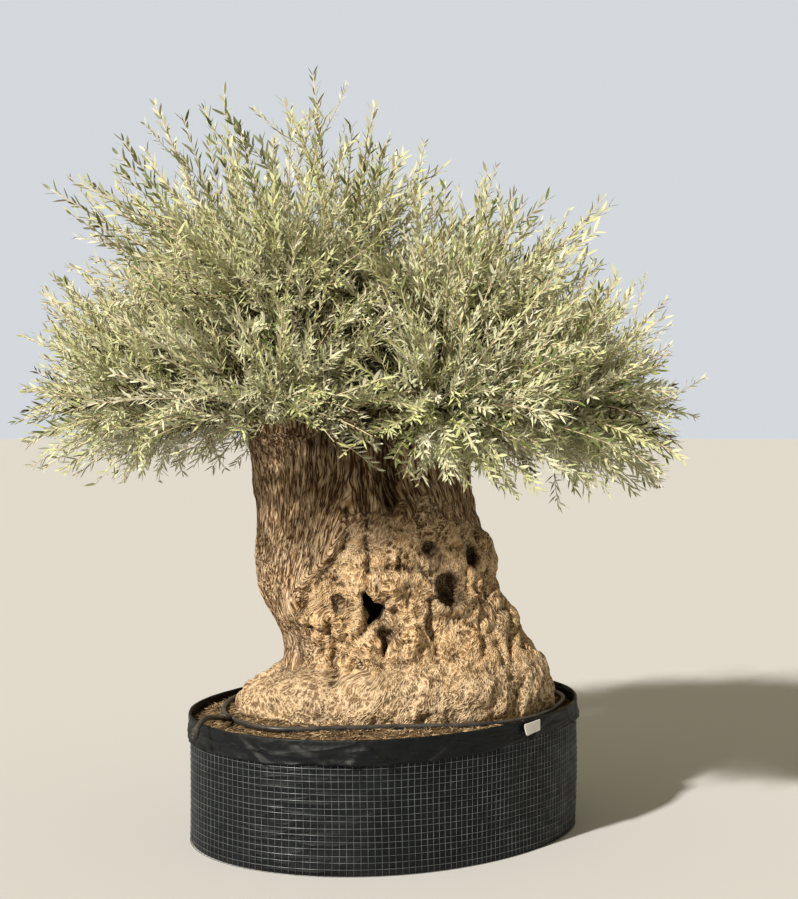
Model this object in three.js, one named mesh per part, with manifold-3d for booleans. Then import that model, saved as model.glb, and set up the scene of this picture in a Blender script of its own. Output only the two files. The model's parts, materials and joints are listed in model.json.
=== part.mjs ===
// An old olive tree grown as a bonsai, in its wire-mesh nursery container. Millimetres, +Z up.
// The origin is the middle of the container's flat underside. The front of the tree faces -Y.
import * as THREE from "three";
import { mergeVertices } from "three/addons/utils/BufferGeometryUtils.js";
import Module from "manifold-3d";

const wasm = await Module();
wasm.setup();

// Driving dimensions. Neighbouring solids keep this gap, and a body's edges are no finer than
// the first of these lengths that leaves it whole.
const GAP = 0.4;
const FINEST_EDGES = [0.05, 0.1, 0.2, 0.4, 0.02];

// The container: a hoop of welded wire mesh, out of round, lined with black ground cloth.
const HOOP_RADIUS = 755;
const OUT_OF_ROUND = 0.1;
const LONG_AXIS = THREE.MathUtils.degToRad(45);
const CAGE_HEIGHT = 500;
const WIRE = 5;
const HOOPS = 4;
// Every ring round the container has the same flats, with the middle of one at the front.
const HOOP_SIDES = 32;
const HOOP_TURN = Math.PI / HOOP_SIDES;
const CLOTH = 6;
const CUFF_DROP = 92;
const CUFF_AWAY = 3.5;
const CUFF = 4;
const FOLD = 10;

// The soil, level with the foot of the trunk and a little lower at the wall.
const SOIL_TOP = 482;
const SOIL_AT_WALL = 468;

// The trunk's silhouette by height above the ground: how far it reaches to each side.
const TRUNK_SECTIONS = [
  { z: SOIL_TOP + GAP, left: 600, right: 655, front: 430, back: 430 },
  { z: 540, left: 578, right: 662, front: 455, back: 450 },
  { z: 600, left: 510, right: 655, front: 440, back: 440 },
  { z: 665, left: 424, right: 628, front: 410, back: 420 },
  { z: 740, left: 408, right: 566, front: 385, back: 400 },
  { z: 830, left: 436, right: 505, front: 370, back: 385 },
  { z: 920, left: 474, right: 458, front: 360, back: 375 },
  { z: 1010, left: 505, right: 436, front: 352, back: 365 },
  { z: 1100, left: 520, right: 418, front: 345, back: 355 },
  { z: 1240, left: 516, right: 368, front: 330, back: 340 },
  { z: 1340, left: 522, right: 345, front: 300, back: 330 },
  { z: 1430, left: 528, right: 335, front: 255, back: 295 },
  { z: 1520, left: 534, right: 322, front: 205, back: 255 },
  { z: 1560, left: 505, right: 290, front: 160, back: 215 },
  { z: 1590, left: 420, right: 205, front: 85, back: 130 },
];
const TRUNK_SIDES = 40;
const TRUNK_RINGS = 21;

// Forms on the front of the trunk: across, up, half width, half height, and how far they stand out.
const FRONT_FORMS = [
  { what: "valley between the two columns", x: 25, z: 1430, wide: 70, high: 140, out: -120 },
  { what: "swelling of the left column", x: -300, z: 1330, wide: 150, high: 260, out: 26 },
  { what: "swelling of the right column", x: 195, z: 1265, wide: 130, high: 150, out: 34 },
  { what: "ear beside the slot", x: 385, z: 1125, wide: 50, high: 85, out: 30 },
  { what: "burl under the left column", x: -245, z: 890, wide: 110, high: 105, out: 45 },
  { what: "left side of the column's foot", x: -360, z: 960, wide: 50, high: 120, out: 18 },
  { what: "lip over the hollows", x: 60, z: 1010, wide: 190, high: 36, out: 26 },
  { what: "lip of the wide hollow", x: 262, z: 915, wide: 80, high: 34, out: 26 },
  { what: "shoulder under the wide hollow", x: 330, z: 840, wide: 70, high: 80, out: 22 },
  { what: "shoulder on the right flank", x: 475, z: 900, wide: 65, high: 75, out: 28 },
  { what: "lobe in the middle", x: 92, z: 800, wide: 62, high: 110, out: 30 },
  { what: "crease beside the lobe", x: -60, z: 720, wide: 150, high: 40, out: -22 },
  { what: "knob on the right flank", x: 583, z: 700, wide: 60, high: 90, out: 34 },
  { what: "knob on the left of the foot", x: -465, z: 600, wide: 90, high: 64, out: 26 },
  { what: "knob above the left of the foot", x: -290, z: 695, wide: 95, high: 65, out: 36 },
  { what: "swell of the foot in the middle", x: 20, z: 640, wide: 130, high: 50, out: 18 },
  { what: "swell of the foot on the right", x: 300, z: 620, wide: 120, high: 60, out: 20 },
];

// How firm the forms' edges are: 1 is a soft bell, and more is a plateau with steeper sides.
const FORM_EDGE = 1.4;

// Burls strewn over the rest of the trunk.
const BURLS = 30;
const BURL_HIGHEST = 40;
const BURL_SEED = 11;

// The three pruned heads that the trunk divides into, each from its foot to its top.
const HEADS = [
  { foot: [-345, -20, 1380], top: [-420, -30, 1700], footRadius: 186, topRadius: 142 },
  { foot: [180, 0, 1380], top: [236, 12, 1630], footRadius: 150, topRadius: 118 },
  { foot: [-60, 120, 1380], top: [-46, 205, 1660], footRadius: 160, topRadius: 120 },
];
const HEAD_SIDES = 10;

// Hollows in the wood: the middle of each, and its half sizes across, in depth and in height.
const HOLLOWS = [
  { at: [-48, -385, 946], half: [36, 150, 66] },
  { at: [-3, -385, 790], half: [28, 65, 66] },
  { at: [-180, -380, 940], half: [28, 36, 44] },
  { at: [244, -338, 986], half: [66, 82, 74] },
  { at: [167, -350, 1154], half: [36, 62, 34] },
  { at: [325, -215, 1116], half: [34, 60, 66] },
  { at: [150, 372, 1010], half: [60, 90, 95] },
  { at: [-250, 330, 1180], half: [44, 70, 60] },
];

// The crown. Shoots spread like a fan from the fork, and its outline is given from there.
const FORK = new THREE.Vector3(-100, 0, 1500);
const LOWER_MASSES = 8;
const UPPER_MASSES = 5;
const LOWER_RISE = THREE.MathUtils.degToRad(13);
const UPPER_RISE = THREE.MathUtils.degToRad(50);
const TOP_TILT = new THREE.Vector3(-0.08, 0.02, 1).normalize();
// How far out of the crown's dense body the masses have their middles.
const RING_OUT = 0.62;
const TOP_OUT = 0.72;
// The dense body of it, and the fringe that the longest shoots make. It is lower on the right.
const BODY = {
  left: 1290, right: 1220, front: 1130, back: 1180, tall: 1060, tallOnRight: 900, down: 190, square: 3.2,
};
const FRINGE = {
  left: 1350, right: 1330, front: 1200, back: 1250, tall: 1515, tallOnRight: 1150, down: 235, square: 3,
};
const SHOOTS = 46;
const LOWEST_SHOOT = -0.13;
const LEADER_EVERY = 5;
const CROWN_SEED = 2024;
// Tips of the shoots that mark the outline, across, in depth and above the ground: the tall ones
// against the sky from left to right, and then those that reach out at the sides and hang in front.
const OUTLINE_TIPS = [
  [-1358, 60, 2566], [-1154, -180, 2562], [-926, 40, 2898], [-658, 150, 2966], [-406, -120, 2890],
  [-294, 30, 3018], [-46, 90, 2900], [226, -60, 2640], [402, 70, 2638], [534, -150, 2486],
  [714, 60, 2418], [886, -40, 2486], [-1478, 80, 1980], [-1440, -240, 1630], [1236, -90, 1650],
  [1150, 200, 2130], [720, -430, 1262],
];

// Limbs. A bough starts inside its head, and its mass's stem goes on from its tip.
const BOUGH_BELOW_TOP = 0.3;
const BOUGH_OFF_AXIS = 0.35;
const BOUGH_ARCH = 0.1;
const BOUGH_SHARE = 0.56;
const BOUGH_FOOT = 46;
const BOUGH_TIP = 21;
const BOUGH_SIDES = 7;
const BOUGH_STEPS = 4;
const STEM_TIP = 10;
const SHOOT_FOOT = 8.5;
const SHOOT_TIP = 4.5;
// Where along a stem its shoots may start, how they bend, and how high their tips are when they sag.
const SHOOT_ROOTS = [0.62, 0.98];
const SHOOT_BEND_AT = 0.42;
const SHOOT_BEND = 0.1;
const SAG_BELOW = FORK.z + 250;

// The dense middle of a mass: its radius outward and inward, and its share of the crown's reach.
const CORE_OUT = 440;
const CORE_IN = 235;
const CORE_SHARE = 0.72;
const CORE_LEAST = 60;
const CORE_ROOM = 12;

// The sprays of leaves along a shoot.
const SPRAYS = 4;
const SPRAY_LENGTH = 285;
const SPRAY_WIDTH = 80;
const SPRAY_THICK = 6;
const SPRAY_ANGLE = THREE.MathUtils.degToRad(38);
const SPRAY_TESTED = [0.25, 0.4, 0.7, 1];
const SPRAY_ROOM = SPRAY_WIDTH / 2 + 3;
const GOLDEN_ANGLE = Math.PI * (3 - Math.sqrt(5));

// The drip ring on the soil, and its feed: from a tee on the ring, over the rim, to an end cap.
const PIPE = 10;
const PIPE_SIDES = 5;
const PIPE_STEPS = 36;
const FITTING = 15;
const RING_LINE = [
  [-648, -30], [-600, -300], [-430, -520], [-160, -512], [70, -480], [320, -450], [530, -330],
  [675, -60], [722, 225], [600, 480], [300, 590], [-60, 560], [-400, 465], [-585, 270],
];
const FEED_LINE = [
  [-596, -330, 499], [-632, -418, 514], [-668, -500, 528], [-694, -560, 510], [-708, -610, 470],
];

// The blank tag on the cuff.
const TAG_FLAT = -3;
const TAG = { wide: 108, high: 44, thick: 1.5, below: 6, toFront: 30 };

const MATERIALS = {
  cloth: new THREE.MeshStandardMaterial({ color: 0x1b1c1e, roughness: 0.55, metalness: 0 }),
  wire: new THREE.MeshStandardMaterial({ color: 0x6d6a64, roughness: 0.5, metalness: 0.8 }),
  soil: new THREE.MeshStandardMaterial({ color: 0x8a6a45, roughness: 1, metalness: 0 }),
  bark: new THREE.MeshStandardMaterial({ color: 0xa98a63, roughness: 0.95, metalness: 0 }),
  foliage: new THREE.MeshStandardMaterial({ color: 0x99a079, roughness: 0.7, metalness: 0 }),
  pipe: new THREE.MeshStandardMaterial({ color: 0x26262a, roughness: 0.5, metalness: 0 }),
  tag: new THREE.MeshStandardMaterial({ color: 0xe8e6df, roughness: 0.5, metalness: 0 }),
};

// Seeded random numbers from 0 to 1.
function randomFrom(seed) {
  let state = seed >>> 0;
  return () => {
    state = (state + 0x6d2b79f5) >>> 0;
    let mixed = Math.imul(state ^ (state >>> 15), state | 1);
    mixed ^= mixed + Math.imul(mixed ^ (mixed >>> 7), mixed | 61);
    return ((mixed ^ (mixed >>> 14)) >>> 0) / 4294967296;
  };
}

// A closed geometry as a solid that can be joined and cut.
function solidOf(geometry) {
  const bare = geometry.index ? geometry.toNonIndexed() : geometry.clone();
  for (const name of Object.keys(bare.attributes)) {
    if (name !== "position") bare.deleteAttribute(name);
  }
  const merged = mergeVertices(bare, 1e-3);
  const mesh = new wasm.Mesh({
    numProp: 3,
    vertProperties: merged.attributes.position.array,
    triVerts: new Uint32Array(merged.index.array),
  });
  return new wasm.Manifold(mesh);
}

// True if two sheets of a solid touch along an edge, which more than two triangles then share.
function touchesItself(solid) {
  const { numProp, vertProperties, triVerts } = solid.getMesh();
  const place = (i) => vertProperties.slice(i * numProp, i * numProp + 3).join();
  const ways = new Set();
  for (let i = 0; i < triVerts.length; i++) {
    const next = i % 3 === 2 ? i - 2 : i + 1;
    ways.add(`${place(triVerts[i])} to ${place(triVerts[next])}`);
  }
  return ways.size < triVerts.length;
}

// The biggest single body of a solid, without the scraps and slivers that a cut leaves.
function biggestBody(solid) {
  for (const finest of FINEST_EDGES) {
    const bodies = solid.asOriginal().simplify(finest).decompose();
    const biggest = bodies.reduce((best, body) => (body.volume() > best.volume() ? body : best));
    if (!touchesItself(biggest)) return biggest;
  }
  throw new Error("a body still touches itself");
}

// A named mesh of a solid.
function meshOf(name, solid, material) {
  const { numVert, numProp, vertProperties, triVerts } = solid.getMesh();
  const places = new Float32Array(numVert * 3);
  for (let i = 0; i < numVert; i++) {
    places.set(vertProperties.subarray(i * numProp, i * numProp + 3), i * 3);
  }
  const geometry = new THREE.BufferGeometry();
  geometry.setAttribute("position", new THREE.BufferAttribute(places, 3));
  geometry.setIndex(new THREE.BufferAttribute(new Uint32Array(triVerts), 1));
  geometry.computeVertexNormals();
  const mesh = new THREE.Mesh(geometry, material);
  mesh.name = name;
  return mesh;
}

// Moves every vertex of a geometry to where place() puts it.
function reshape(geometry, place) {
  const position = geometry.attributes.position;
  const vertex = new THREE.Vector3();
  for (let i = 0; i < position.count; i++) {
    vertex.fromBufferAttribute(position, i);
    place(vertex);
    position.setXYZ(i, vertex.x, vertex.y, vertex.z);
  }
  return geometry;
}

// A direction that is never close to the line's own.
function steadyReference(direction) {
  return Math.abs(direction.z) < 0.8 ? new THREE.Vector3(0, 0, 1) : new THREE.Vector3(1, 0, 0);
}

// The unit vectors across a line that runs along tangent.
function across(tangent, reference) {
  const side = new THREE.Vector3().crossVectors(reference, tangent).normalize();
  return { side, up: new THREE.Vector3().crossVectors(tangent, side) };
}

// A tapering limb round part of a curve, closed at both ends.
function limb(curve, footRadius, tipRadius, sides, steps, from = 0, to = 1) {
  const whole = curve.getPoint(to).sub(curve.getPoint(from)).normalize();
  const reference = steadyReference(whole);
  return reshape(new THREE.CylinderGeometry(1, 1, 1, sides, steps), (vertex) => {
    const share = vertex.y + 0.5;
    const at = THREE.MathUtils.lerp(from, to, share);
    const radius = THREE.MathUtils.lerp(footRadius, tipRadius, share);
    const { side, up } = across(curve.getTangent(at), reference);
    const across1 = vertex.z * radius;
    const across2 = vertex.x * radius;
    vertex.copy(curve.getPoint(at)).addScaledVector(side, across1).addScaledVector(up, across2);
  });
}

// How far the hoop's plan is from a circle in a direction.
function plan(angle) {
  return 1 + OUT_OF_ROUND * Math.cos(2 * (angle - LONG_AXIS));
}

// Turns a profile of [distance from the hoop, height] points about Z, along the hoop's plan.
// A distance of -HOOP_RADIUS is the axis.
function hoopLathe(profile) {
  const points = profile.map(([out, z]) => new THREE.Vector2(HOOP_RADIUS + out, z));
  const turned = new THREE.LatheGeometry(points, HOOP_SIDES, HOOP_TURN).rotateX(Math.PI / 2);
  return reshape(turned, (vertex) => {
    const stretch = plan(Math.atan2(vertex.y, vertex.x));
    vertex.x *= stretch;
    vertex.y *= stretch;
  });
}

// The lining: a floor and wall inside the wires, folded out over them into a cuff.
function makeLiner() {
  const wall = -WIRE / 2 - GAP;
  const cuff = WIRE / 2 + CUFF_AWAY;
  const top = CAGE_HEIGHT + FOLD;
  return solidOf(hoopLathe([
    [-HOOP_RADIUS, 0],
    [wall, 0],
    [wall, CAGE_HEIGHT + 2],
    [cuff, CAGE_HEIGHT + 2],
    [cuff, CAGE_HEIGHT - CUFF_DROP],
    [cuff + CUFF, CAGE_HEIGHT - CUFF_DROP],
    [cuff + CUFF, top - FOLD / 2],
    [cuff, top],
    [wall, top],
    [wall - CLOTH, top - FOLD / 2],
    [wall - CLOTH, CLOTH],
    [-HOOP_RADIUS, CLOTH],
  ]));
}

// The corner of the hoop between two of its flats, counted round from +X.
function hoopCorner(i, out) {
  const angle = (2 * i - 1) * HOOP_TURN;
  const far = (HOOP_RADIUS + out) * plan(angle);
  return new THREE.Vector3(far * Math.cos(angle), far * Math.sin(angle), 0);
}

// One of the hoop's flats: its middle, its width and the way that it faces.
function hoopFlat(i, out) {
  const [start, end] = [hoopCorner(i, out), hoopCorner(i + 1, out)];
  const facing = Math.atan2(start.x - end.x, end.y - start.y);
  return { middle: start.clone().lerp(end, 0.5), width: start.distanceTo(end), facing };
}

// The cage: a band round the hoop's flats, cut open between its wires.
function makeCage() {
  const half = WIRE / 2;
  const [low, high] = [1, CAGE_HEIGHT - 1];
  const band = hoopLathe([[-half, low], [half, low], [half, high], [-half, high], [-half, low]]);
  const step = (high - low - WIRE) / (HOOPS - 1);
  const windows = [];
  for (let i = 0; i < HOOP_SIDES; i++) {
    const { middle, width, facing } = hoopFlat(i, 0);
    for (let row = 0; row < HOOPS - 1; row++) {
      const opening = new THREE.BoxGeometry(8 * WIRE, width - WIRE, step - WIRE);
      const z = low + half + (row + 0.5) * step;
      windows.push(solidOf(opening.rotateZ(facing).translate(middle.x, middle.y, z)));
    }
  }
  return solidOf(band).subtract(wasm.Manifold.union(windows));
}

// The soil that fills the lining, flat under the trunk.
function makeSoil() {
  const edge = -WIRE / 2 - CLOTH - 2 * GAP;
  return solidOf(hoopLathe([
    [-HOOP_RADIUS, CLOTH + GAP],
    [edge, CLOTH + GAP],
    [edge, SOIL_AT_WALL],
    [-40, SOIL_AT_WALL + 4],
    [-85, SOIL_TOP],
    [-HOOP_RADIUS, SOIL_TOP],
  ]));
}

// The trunk's reach to one side at a height, on a smooth line through the measured sections.
function sectionAt(z, side) {
  const last = TRUNK_SECTIONS.length - 1;
  let i = 0;
  while (i < last - 1 && TRUNK_SECTIONS[i + 1].z < z) i++;
  const t = (z - TRUNK_SECTIONS[i].z) / (TRUNK_SECTIONS[i + 1].z - TRUNK_SECTIONS[i].z);
  const [a, b, c, d] = [i - 1, i, i + 1, i + 2].map(
    (n) => TRUNK_SECTIONS[THREE.MathUtils.clamp(n, 0, last)][side],
  );
  const slope = c - a;
  const square = 2 * a - 5 * b + 4 * c - d;
  const cube = 3 * b - a - 3 * c + d;
  return b + 0.5 * (slope * t + square * t ** 2 + cube * t ** 3);
}

// The burls: swellings, lower on the front, where the forms above are, and on the left column.
function makeBurls() {
  const random = randomFrom(BURL_SEED);
  return Array.from({ length: BURLS }, () => {
    const angle = random() * 2 * Math.PI;
    const z = THREE.MathUtils.lerp(SOIL_TOP + 60, 1300, random());
    const size = THREE.MathUtils.lerp(70, 130, random());
    const height = THREE.MathUtils.lerp(16, BURL_HIGHEST, random());
    const calm = Math.sin(angle) < -0.2 || (Math.cos(angle) < -0.5 && z > 700);
    return { angle, z, size, height: calm ? 0.3 * height : height };
  });
}

// The trunk's surface: how far it lies from its own middle line at an angle and height.
function trunkRadius(angle, z, burls) {
  const left = sectionAt(z, "left");
  const right = sectionAt(z, "right");
  const halfWide = (left + right) / 2;
  const halfDeep = sectionAt(z, Math.sin(angle) < 0 ? "front" : "back");
  let radius = 1 / Math.hypot(Math.cos(angle) / halfWide, Math.sin(angle) / halfDeep);
  const x = (right - left) / 2 + radius * Math.cos(angle);
  const facing = THREE.MathUtils.smoothstep(-Math.sin(angle), 0, 0.3);
  for (const form of FRONT_FORMS) {
    const away = ((x - form.x) / form.wide) ** 2 + ((z - form.z) / form.high) ** 2;
    radius += facing * form.out * Math.exp(-(away ** FORM_EDGE));
  }
  for (const burl of burls) {
    const turn = Math.atan2(Math.sin(angle - burl.angle), Math.cos(angle - burl.angle));
    const away = Math.hypot(turn * radius, z - burl.z) / burl.size;
    radius += burl.height * Math.exp(-away * away);
  }
  return radius;
}

// The trunk: one lofted body and its three heads, with the hollows cut out.
function makeTrunk() {
  const burls = makeBurls();
  const foot = TRUNK_SECTIONS[0].z;
  const top = TRUNK_SECTIONS[TRUNK_SECTIONS.length - 1].z;
  const body = reshape(new THREE.CylinderGeometry(1, 1, 1, TRUNK_SIDES, TRUNK_RINGS), (vertex) => {
    const z = THREE.MathUtils.lerp(foot, top, vertex.y + 0.5);
    const middle = (sectionAt(z, "right") - sectionAt(z, "left")) / 2;
    const angle = Math.atan2(vertex.x, vertex.z);
    const out = Math.hypot(vertex.x, vertex.z) * trunkRadius(angle, z, burls);
    vertex.set(middle + out * Math.cos(angle), out * Math.sin(angle), z);
  });
  let trunk = solidOf(body);
  for (const { foot: low, top: high, footRadius, topRadius } of HEADS) {
    const line = new THREE.LineCurve3(new THREE.Vector3(...low), new THREE.Vector3(...high));
    const dome = new THREE.IcosahedronGeometry(topRadius, 1).scale(1, 1, 0.45).translate(...high);
    trunk = trunk.add(solidOf(limb(line, footRadius, topRadius, HEAD_SIDES, 3))).add(solidOf(dome));
  }
  for (const { at, half } of HOLLOWS) {
    const hollow = new THREE.IcosahedronGeometry(1, 1).scale(...half).translate(...at);
    trunk = trunk.subtract(solidOf(hollow));
  }
  return trunk;
}

// How far an outline of the crown lies from the fork in a direction.
function reach(outline, direction) {
  const wide = direction.x < 0 ? outline.left : outline.right;
  const deep = direction.y < 0 ? outline.front : outline.back;
  const toRight = THREE.MathUtils.smoothstep(direction.x, -0.15, 0.3);
  const up = THREE.MathUtils.lerp(outline.tall, outline.tallOnRight, toRight);
  const high = direction.z < 0 ? outline.down : up;
  const n = outline.square;
  const sum = [direction.x / wide, direction.y / deep, direction.z / high].reduce(
    (total, term) => total + Math.abs(term) ** n, 0,
  );
  return sum ** (-1 / n);
}

// A direction from its compass angle and the sine of its rise.
function directionOf(angle, sine) {
  const flat = Math.sqrt(1 - sine * sine);
  return new THREE.Vector3(flat * Math.cos(angle), flat * Math.sin(angle), sine);
}

// The masses of foliage: two rings of them round the fork, and one on top.
function layOutMasses() {
  const masses = [];
  const addRing = (count, rise, turn, ring) => {
    for (let i = 0; i < count; i++) {
      const direction = directionOf(turn + (i * 2 * Math.PI) / count, Math.sin(rise));
      const middle = direction.clone().multiplyScalar(RING_OUT * reach(BODY, direction)).add(FORK);
      masses.push({ name: `foliage_${ring}_${i + 1}`, bough: `bough_${ring}_${i + 1}`, direction, middle });
    }
  };
  addRing(LOWER_MASSES, LOWER_RISE, Math.PI / LOWER_MASSES, "lower");
  addRing(UPPER_MASSES, UPPER_RISE, Math.PI / (2 * UPPER_MASSES), "upper");
  const middle = TOP_TILT.clone().multiplyScalar(TOP_OUT * reach(BODY, TOP_TILT)).add(FORK);
  masses.push({ name: "foliage_top", bough: "bough_top", direction: TOP_TILT.clone(), middle });
  return masses;
}

// The head nearest to a mass, and the curve of its bough and stem: out of the head, then outward.
function limbCurve(mass) {
  const tops = HEADS.map((head) => new THREE.Vector3(...head.top));
  const near = tops.map((top) => top.distanceTo(mass.middle));
  const head = HEADS[near.indexOf(Math.min(...near))];
  const high = new THREE.Vector3(...head.top);
  const low = new THREE.Vector3(...head.foot);
  const toMass = mass.middle.clone().sub(high).normalize();
  const start = high.clone().lerp(low, BOUGH_BELOW_TOP);
  start.addScaledVector(toMass, BOUGH_OFF_AXIS * head.topRadius);
  const bend = start.clone().lerp(mass.middle, 0.5);
  bend.z += BOUGH_ARCH * start.distanceTo(mass.middle);
  return new THREE.QuadraticBezierCurve3(start, bend, mass.middle.clone());
}

// True if a point lies in a mass's own space, by at least the margin.
function inSpace(masses, mass, point, margin) {
  return masses.every((other) => {
    if (other === mass) return true;
    const apart = other.middle.clone().sub(mass.middle);
    const halfway = mass.middle.clone().add(other.middle).multiplyScalar(0.5);
    return point.clone().sub(halfway).dot(apart.normalize()) < -margin;
  });
}

// True if a point is at least the margin away from every bough, and from the trunk with its burls.
function clearOfLimbs(masses, point, margin) {
  for (const { curve } of masses) {
    for (let i = 0; i <= 10; i++) {
      const radius = THREE.MathUtils.lerp(BOUGH_FOOT, BOUGH_TIP, i / 10);
      if (curve.getPoint((i / 10) * BOUGH_SHARE).distanceTo(point) < radius + margin) return false;
    }
  }
  for (const { foot, top, footRadius } of HEADS) {
    const line = new THREE.Line3(new THREE.Vector3(...foot), new THREE.Vector3(...top));
    const nearest = line.closestPointToPoint(point, true, new THREE.Vector3());
    if (nearest.distanceTo(point) < footRadius + margin) return false;
  }
  if (point.z > TRUNK_SECTIONS[TRUNK_SECTIONS.length - 1].z + margin) return true;
  const middle = (sectionAt(point.z, "right") - sectionAt(point.z, "left")) / 2;
  const room = BURL_HIGHEST + margin;
  const wide = (sectionAt(point.z, "right") + sectionAt(point.z, "left")) / 2 + room;
  const deep = sectionAt(point.z, point.y < 0 ? "front" : "back") + room;
  return Math.hypot((point.x - middle) / wide, point.y / deep) > 1;
}

// The tips of all the long shoots: an even spread over the dome, and those of the outline.
function shootTips() {
  const random = randomFrom(CROWN_SEED);
  const tips = [];
  for (let i = 0; i < SHOOTS; i++) {
    const sine = THREE.MathUtils.lerp(LOWEST_SHOOT, 0.99, (i + 0.5) / SHOOTS);
    const direction = directionOf(i * GOLDEN_ANGLE + 0.3 * (random() - 0.5), sine);
    const length = random();
    const leads = i % LEADER_EVERY === 0;
    const far = leads
      ? reach(FRINGE, direction) * THREE.MathUtils.lerp(0.86, 0.98, length)
      : reach(BODY, direction) * THREE.MathUtils.lerp(0.88, 1.06, length);
    tips.push(FORK.clone().addScaledVector(direction, far));
  }
  for (const tip of OUTLINE_TIPS) tips.push(new THREE.Vector3(...tip));
  return tips;
}

// The curve of a long shoot: off its mass's stem, bending towards its own tip. Low ones sag.
function shootCurve(mass, tip, random) {
  const along = THREE.MathUtils.lerp(...SHOOT_ROOTS, random());
  const start = mass.curve.getPoint(along);
  const span = start.distanceTo(tip);
  const ahead = mass.curve.getTangent(along);
  const bend = start.clone().lerp(tip, SHOOT_BEND_AT).addScaledVector(ahead, SHOOT_BEND * span);
  bend.z += span * (tip.z < SAG_BELOW ? 0.1 : -0.02);
  return new THREE.QuadraticBezierCurve3(start, bend, tip);
}

// One spray as a pointed blade, from its root along a direction, with its flat facing the light.
function blade(root, direction, length, facing) {
  const { side, up } = across(direction, facing);
  return reshape(new THREE.OctahedronGeometry(1, 0), (vertex) => {
    const along = vertex.y < -0.5 ? 0 : vertex.y > 0.5 ? length : 0.4 * length;
    const wide = (vertex.z * SPRAY_WIDTH) / 2;
    const thick = (vertex.x * SPRAY_THICK) / 2;
    vertex.copy(root).addScaledVector(direction, along);
    vertex.addScaledVector(side, wide).addScaledVector(up, thick);
  });
}

// The roots and directions of the sprays along a shoot, in a spiral, with one at its tip.
function spraysOf(curve, random) {
  const sprays = [];
  const turn = random() * 2 * Math.PI;
  for (let i = 0; i < SPRAYS; i++) {
    const share = THREE.MathUtils.lerp(0.32, 0.74, i / (SPRAYS - 1)) + 0.04 * (random() - 0.5);
    const shorter = THREE.MathUtils.lerp(1.08, 0.72, share) * THREE.MathUtils.lerp(0.85, 1.12, random());
    const ahead = curve.getTangent(share);
    const { side, up } = across(ahead, steadyReference(ahead));
    const angle = turn + i * GOLDEN_ANGLE;
    const away = side.multiplyScalar(Math.cos(angle)).addScaledVector(up, Math.sin(angle));
    const direction = ahead.multiplyScalar(Math.cos(SPRAY_ANGLE));
    direction.addScaledVector(away, Math.sin(SPRAY_ANGLE));
    sprays.push({ root: curve.getPoint(share), direction, length: SPRAY_LENGTH * shorter });
  }
  const end = curve.getTangent(1);
  const length = SPRAY_LENGTH * 0.8;
  sprays.push({ root: curve.getPoint(1).addScaledVector(end, -length), direction: end, length });
  return sprays;
}

// A mass's dense middle, drawn in until it lies in its own space and under the crown's surface.
function makeCore(masses, mass, random) {
  return solidOf(reshape(mergeVertices(bareIcosahedron(), 1e-4), (vertex) => {
    const direction = vertex.clone().normalize();
    const outward = (1 + direction.dot(mass.direction)) / 2;
    const uneven = THREE.MathUtils.lerp(0.9, 1.1, random());
    let radius = THREE.MathUtils.lerp(CORE_IN, CORE_OUT, outward) * uneven;
    const place = () => mass.middle.clone().addScaledVector(direction, radius);
    const outside = () => {
      const fromFork = place().sub(FORK);
      return fromFork.length() > CORE_SHARE * reach(BODY, fromFork.clone().normalize());
    };
    const fits = () => inSpace(masses, mass, place(), CORE_ROOM) && !outside();
    while (radius > CORE_LEAST && !fits()) radius -= 10;
    vertex.copy(place());
  }));
}

// A ball of triangles with places only, so that its corners can be merged.
function bareIcosahedron() {
  const geometry = new THREE.IcosahedronGeometry(1, 1);
  geometry.deleteAttribute("normal");
  geometry.deleteAttribute("uv");
  return geometry;
}

// A mass of foliage: its stem, shoots and sprays, grown round the dense middle.
function growMass(masses, mass, tips, number) {
  const random = randomFrom(CROWN_SEED + 100 * (number + 1));
  const pieces = [];
  const stemFrom = BOUGH_SHARE + GAP / mass.curve.getLength();
  pieces.push(solidOf(limb(mass.curve, BOUGH_TIP, STEM_TIP, 5, 3, stemFrom, 1)));
  for (const tip of tips) {
    const curve = shootCurve(mass, tip, random);
    const to = 1 - (0.3 * SPRAY_LENGTH) / curve.getLength();
    const along = [0.25, 0.5, 0.75, 1].map((share) => curve.getPoint(share));
    const inside = along.every((place) => inSpace(masses, mass, place, SHOOT_FOOT + 4));
    const sprays = spraysOf(curve, random);
    if (!inside) continue;
    pieces.push(solidOf(limb(curve, SHOOT_FOOT, SHOOT_TIP, 3, 3, 0, to)));
    for (const { root, direction, length } of sprays) {
      const facing = new THREE.Vector3(0, 0, 1).lerp(mass.direction, 0.35).normalize();
      const places = SPRAY_TESTED.map((share) => root.clone().addScaledVector(direction, share * length));
      const fits = (at) => inSpace(masses, mass, at, SPRAY_ROOM) && clearOfLimbs(masses, at, SPRAY_ROOM);
      if (places.every(fits)) pieces.push(solidOf(blade(root, direction, length, facing)));
    }
  }
  pieces.push(makeCore(masses, mass, random));
  return wasm.Manifold.union(pieces);
}

// A bough's tapering limb, thicker all round by some clearance, up to a share of its curve.
function boughSolid(mass, clearance, to) {
  const foot = BOUGH_FOOT + clearance;
  return solidOf(limb(mass.curve, foot, BOUGH_TIP + clearance, BOUGH_SIDES, BOUGH_STEPS, 0, to));
}

// A bough as it shows: from the head's surface to where it meets its mass's stem.
function makeBough(mass, trunk) {
  const bough = boughSolid(mass, 0, BOUGH_SHARE);
  const away = mass.curve.getTangent(0.25).multiplyScalar(2 * GAP);
  return bough.subtract(trunk).subtract(trunk.translate([away.x, away.y, away.z]));
}

// The space that a bough needs to itself, up to the foot of its mass's stem.
function boughCutter(mass) {
  return boughSolid(mass, GAP, BOUGH_SHARE + (0.8 * GAP) / mass.curve.getLength());
}

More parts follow.
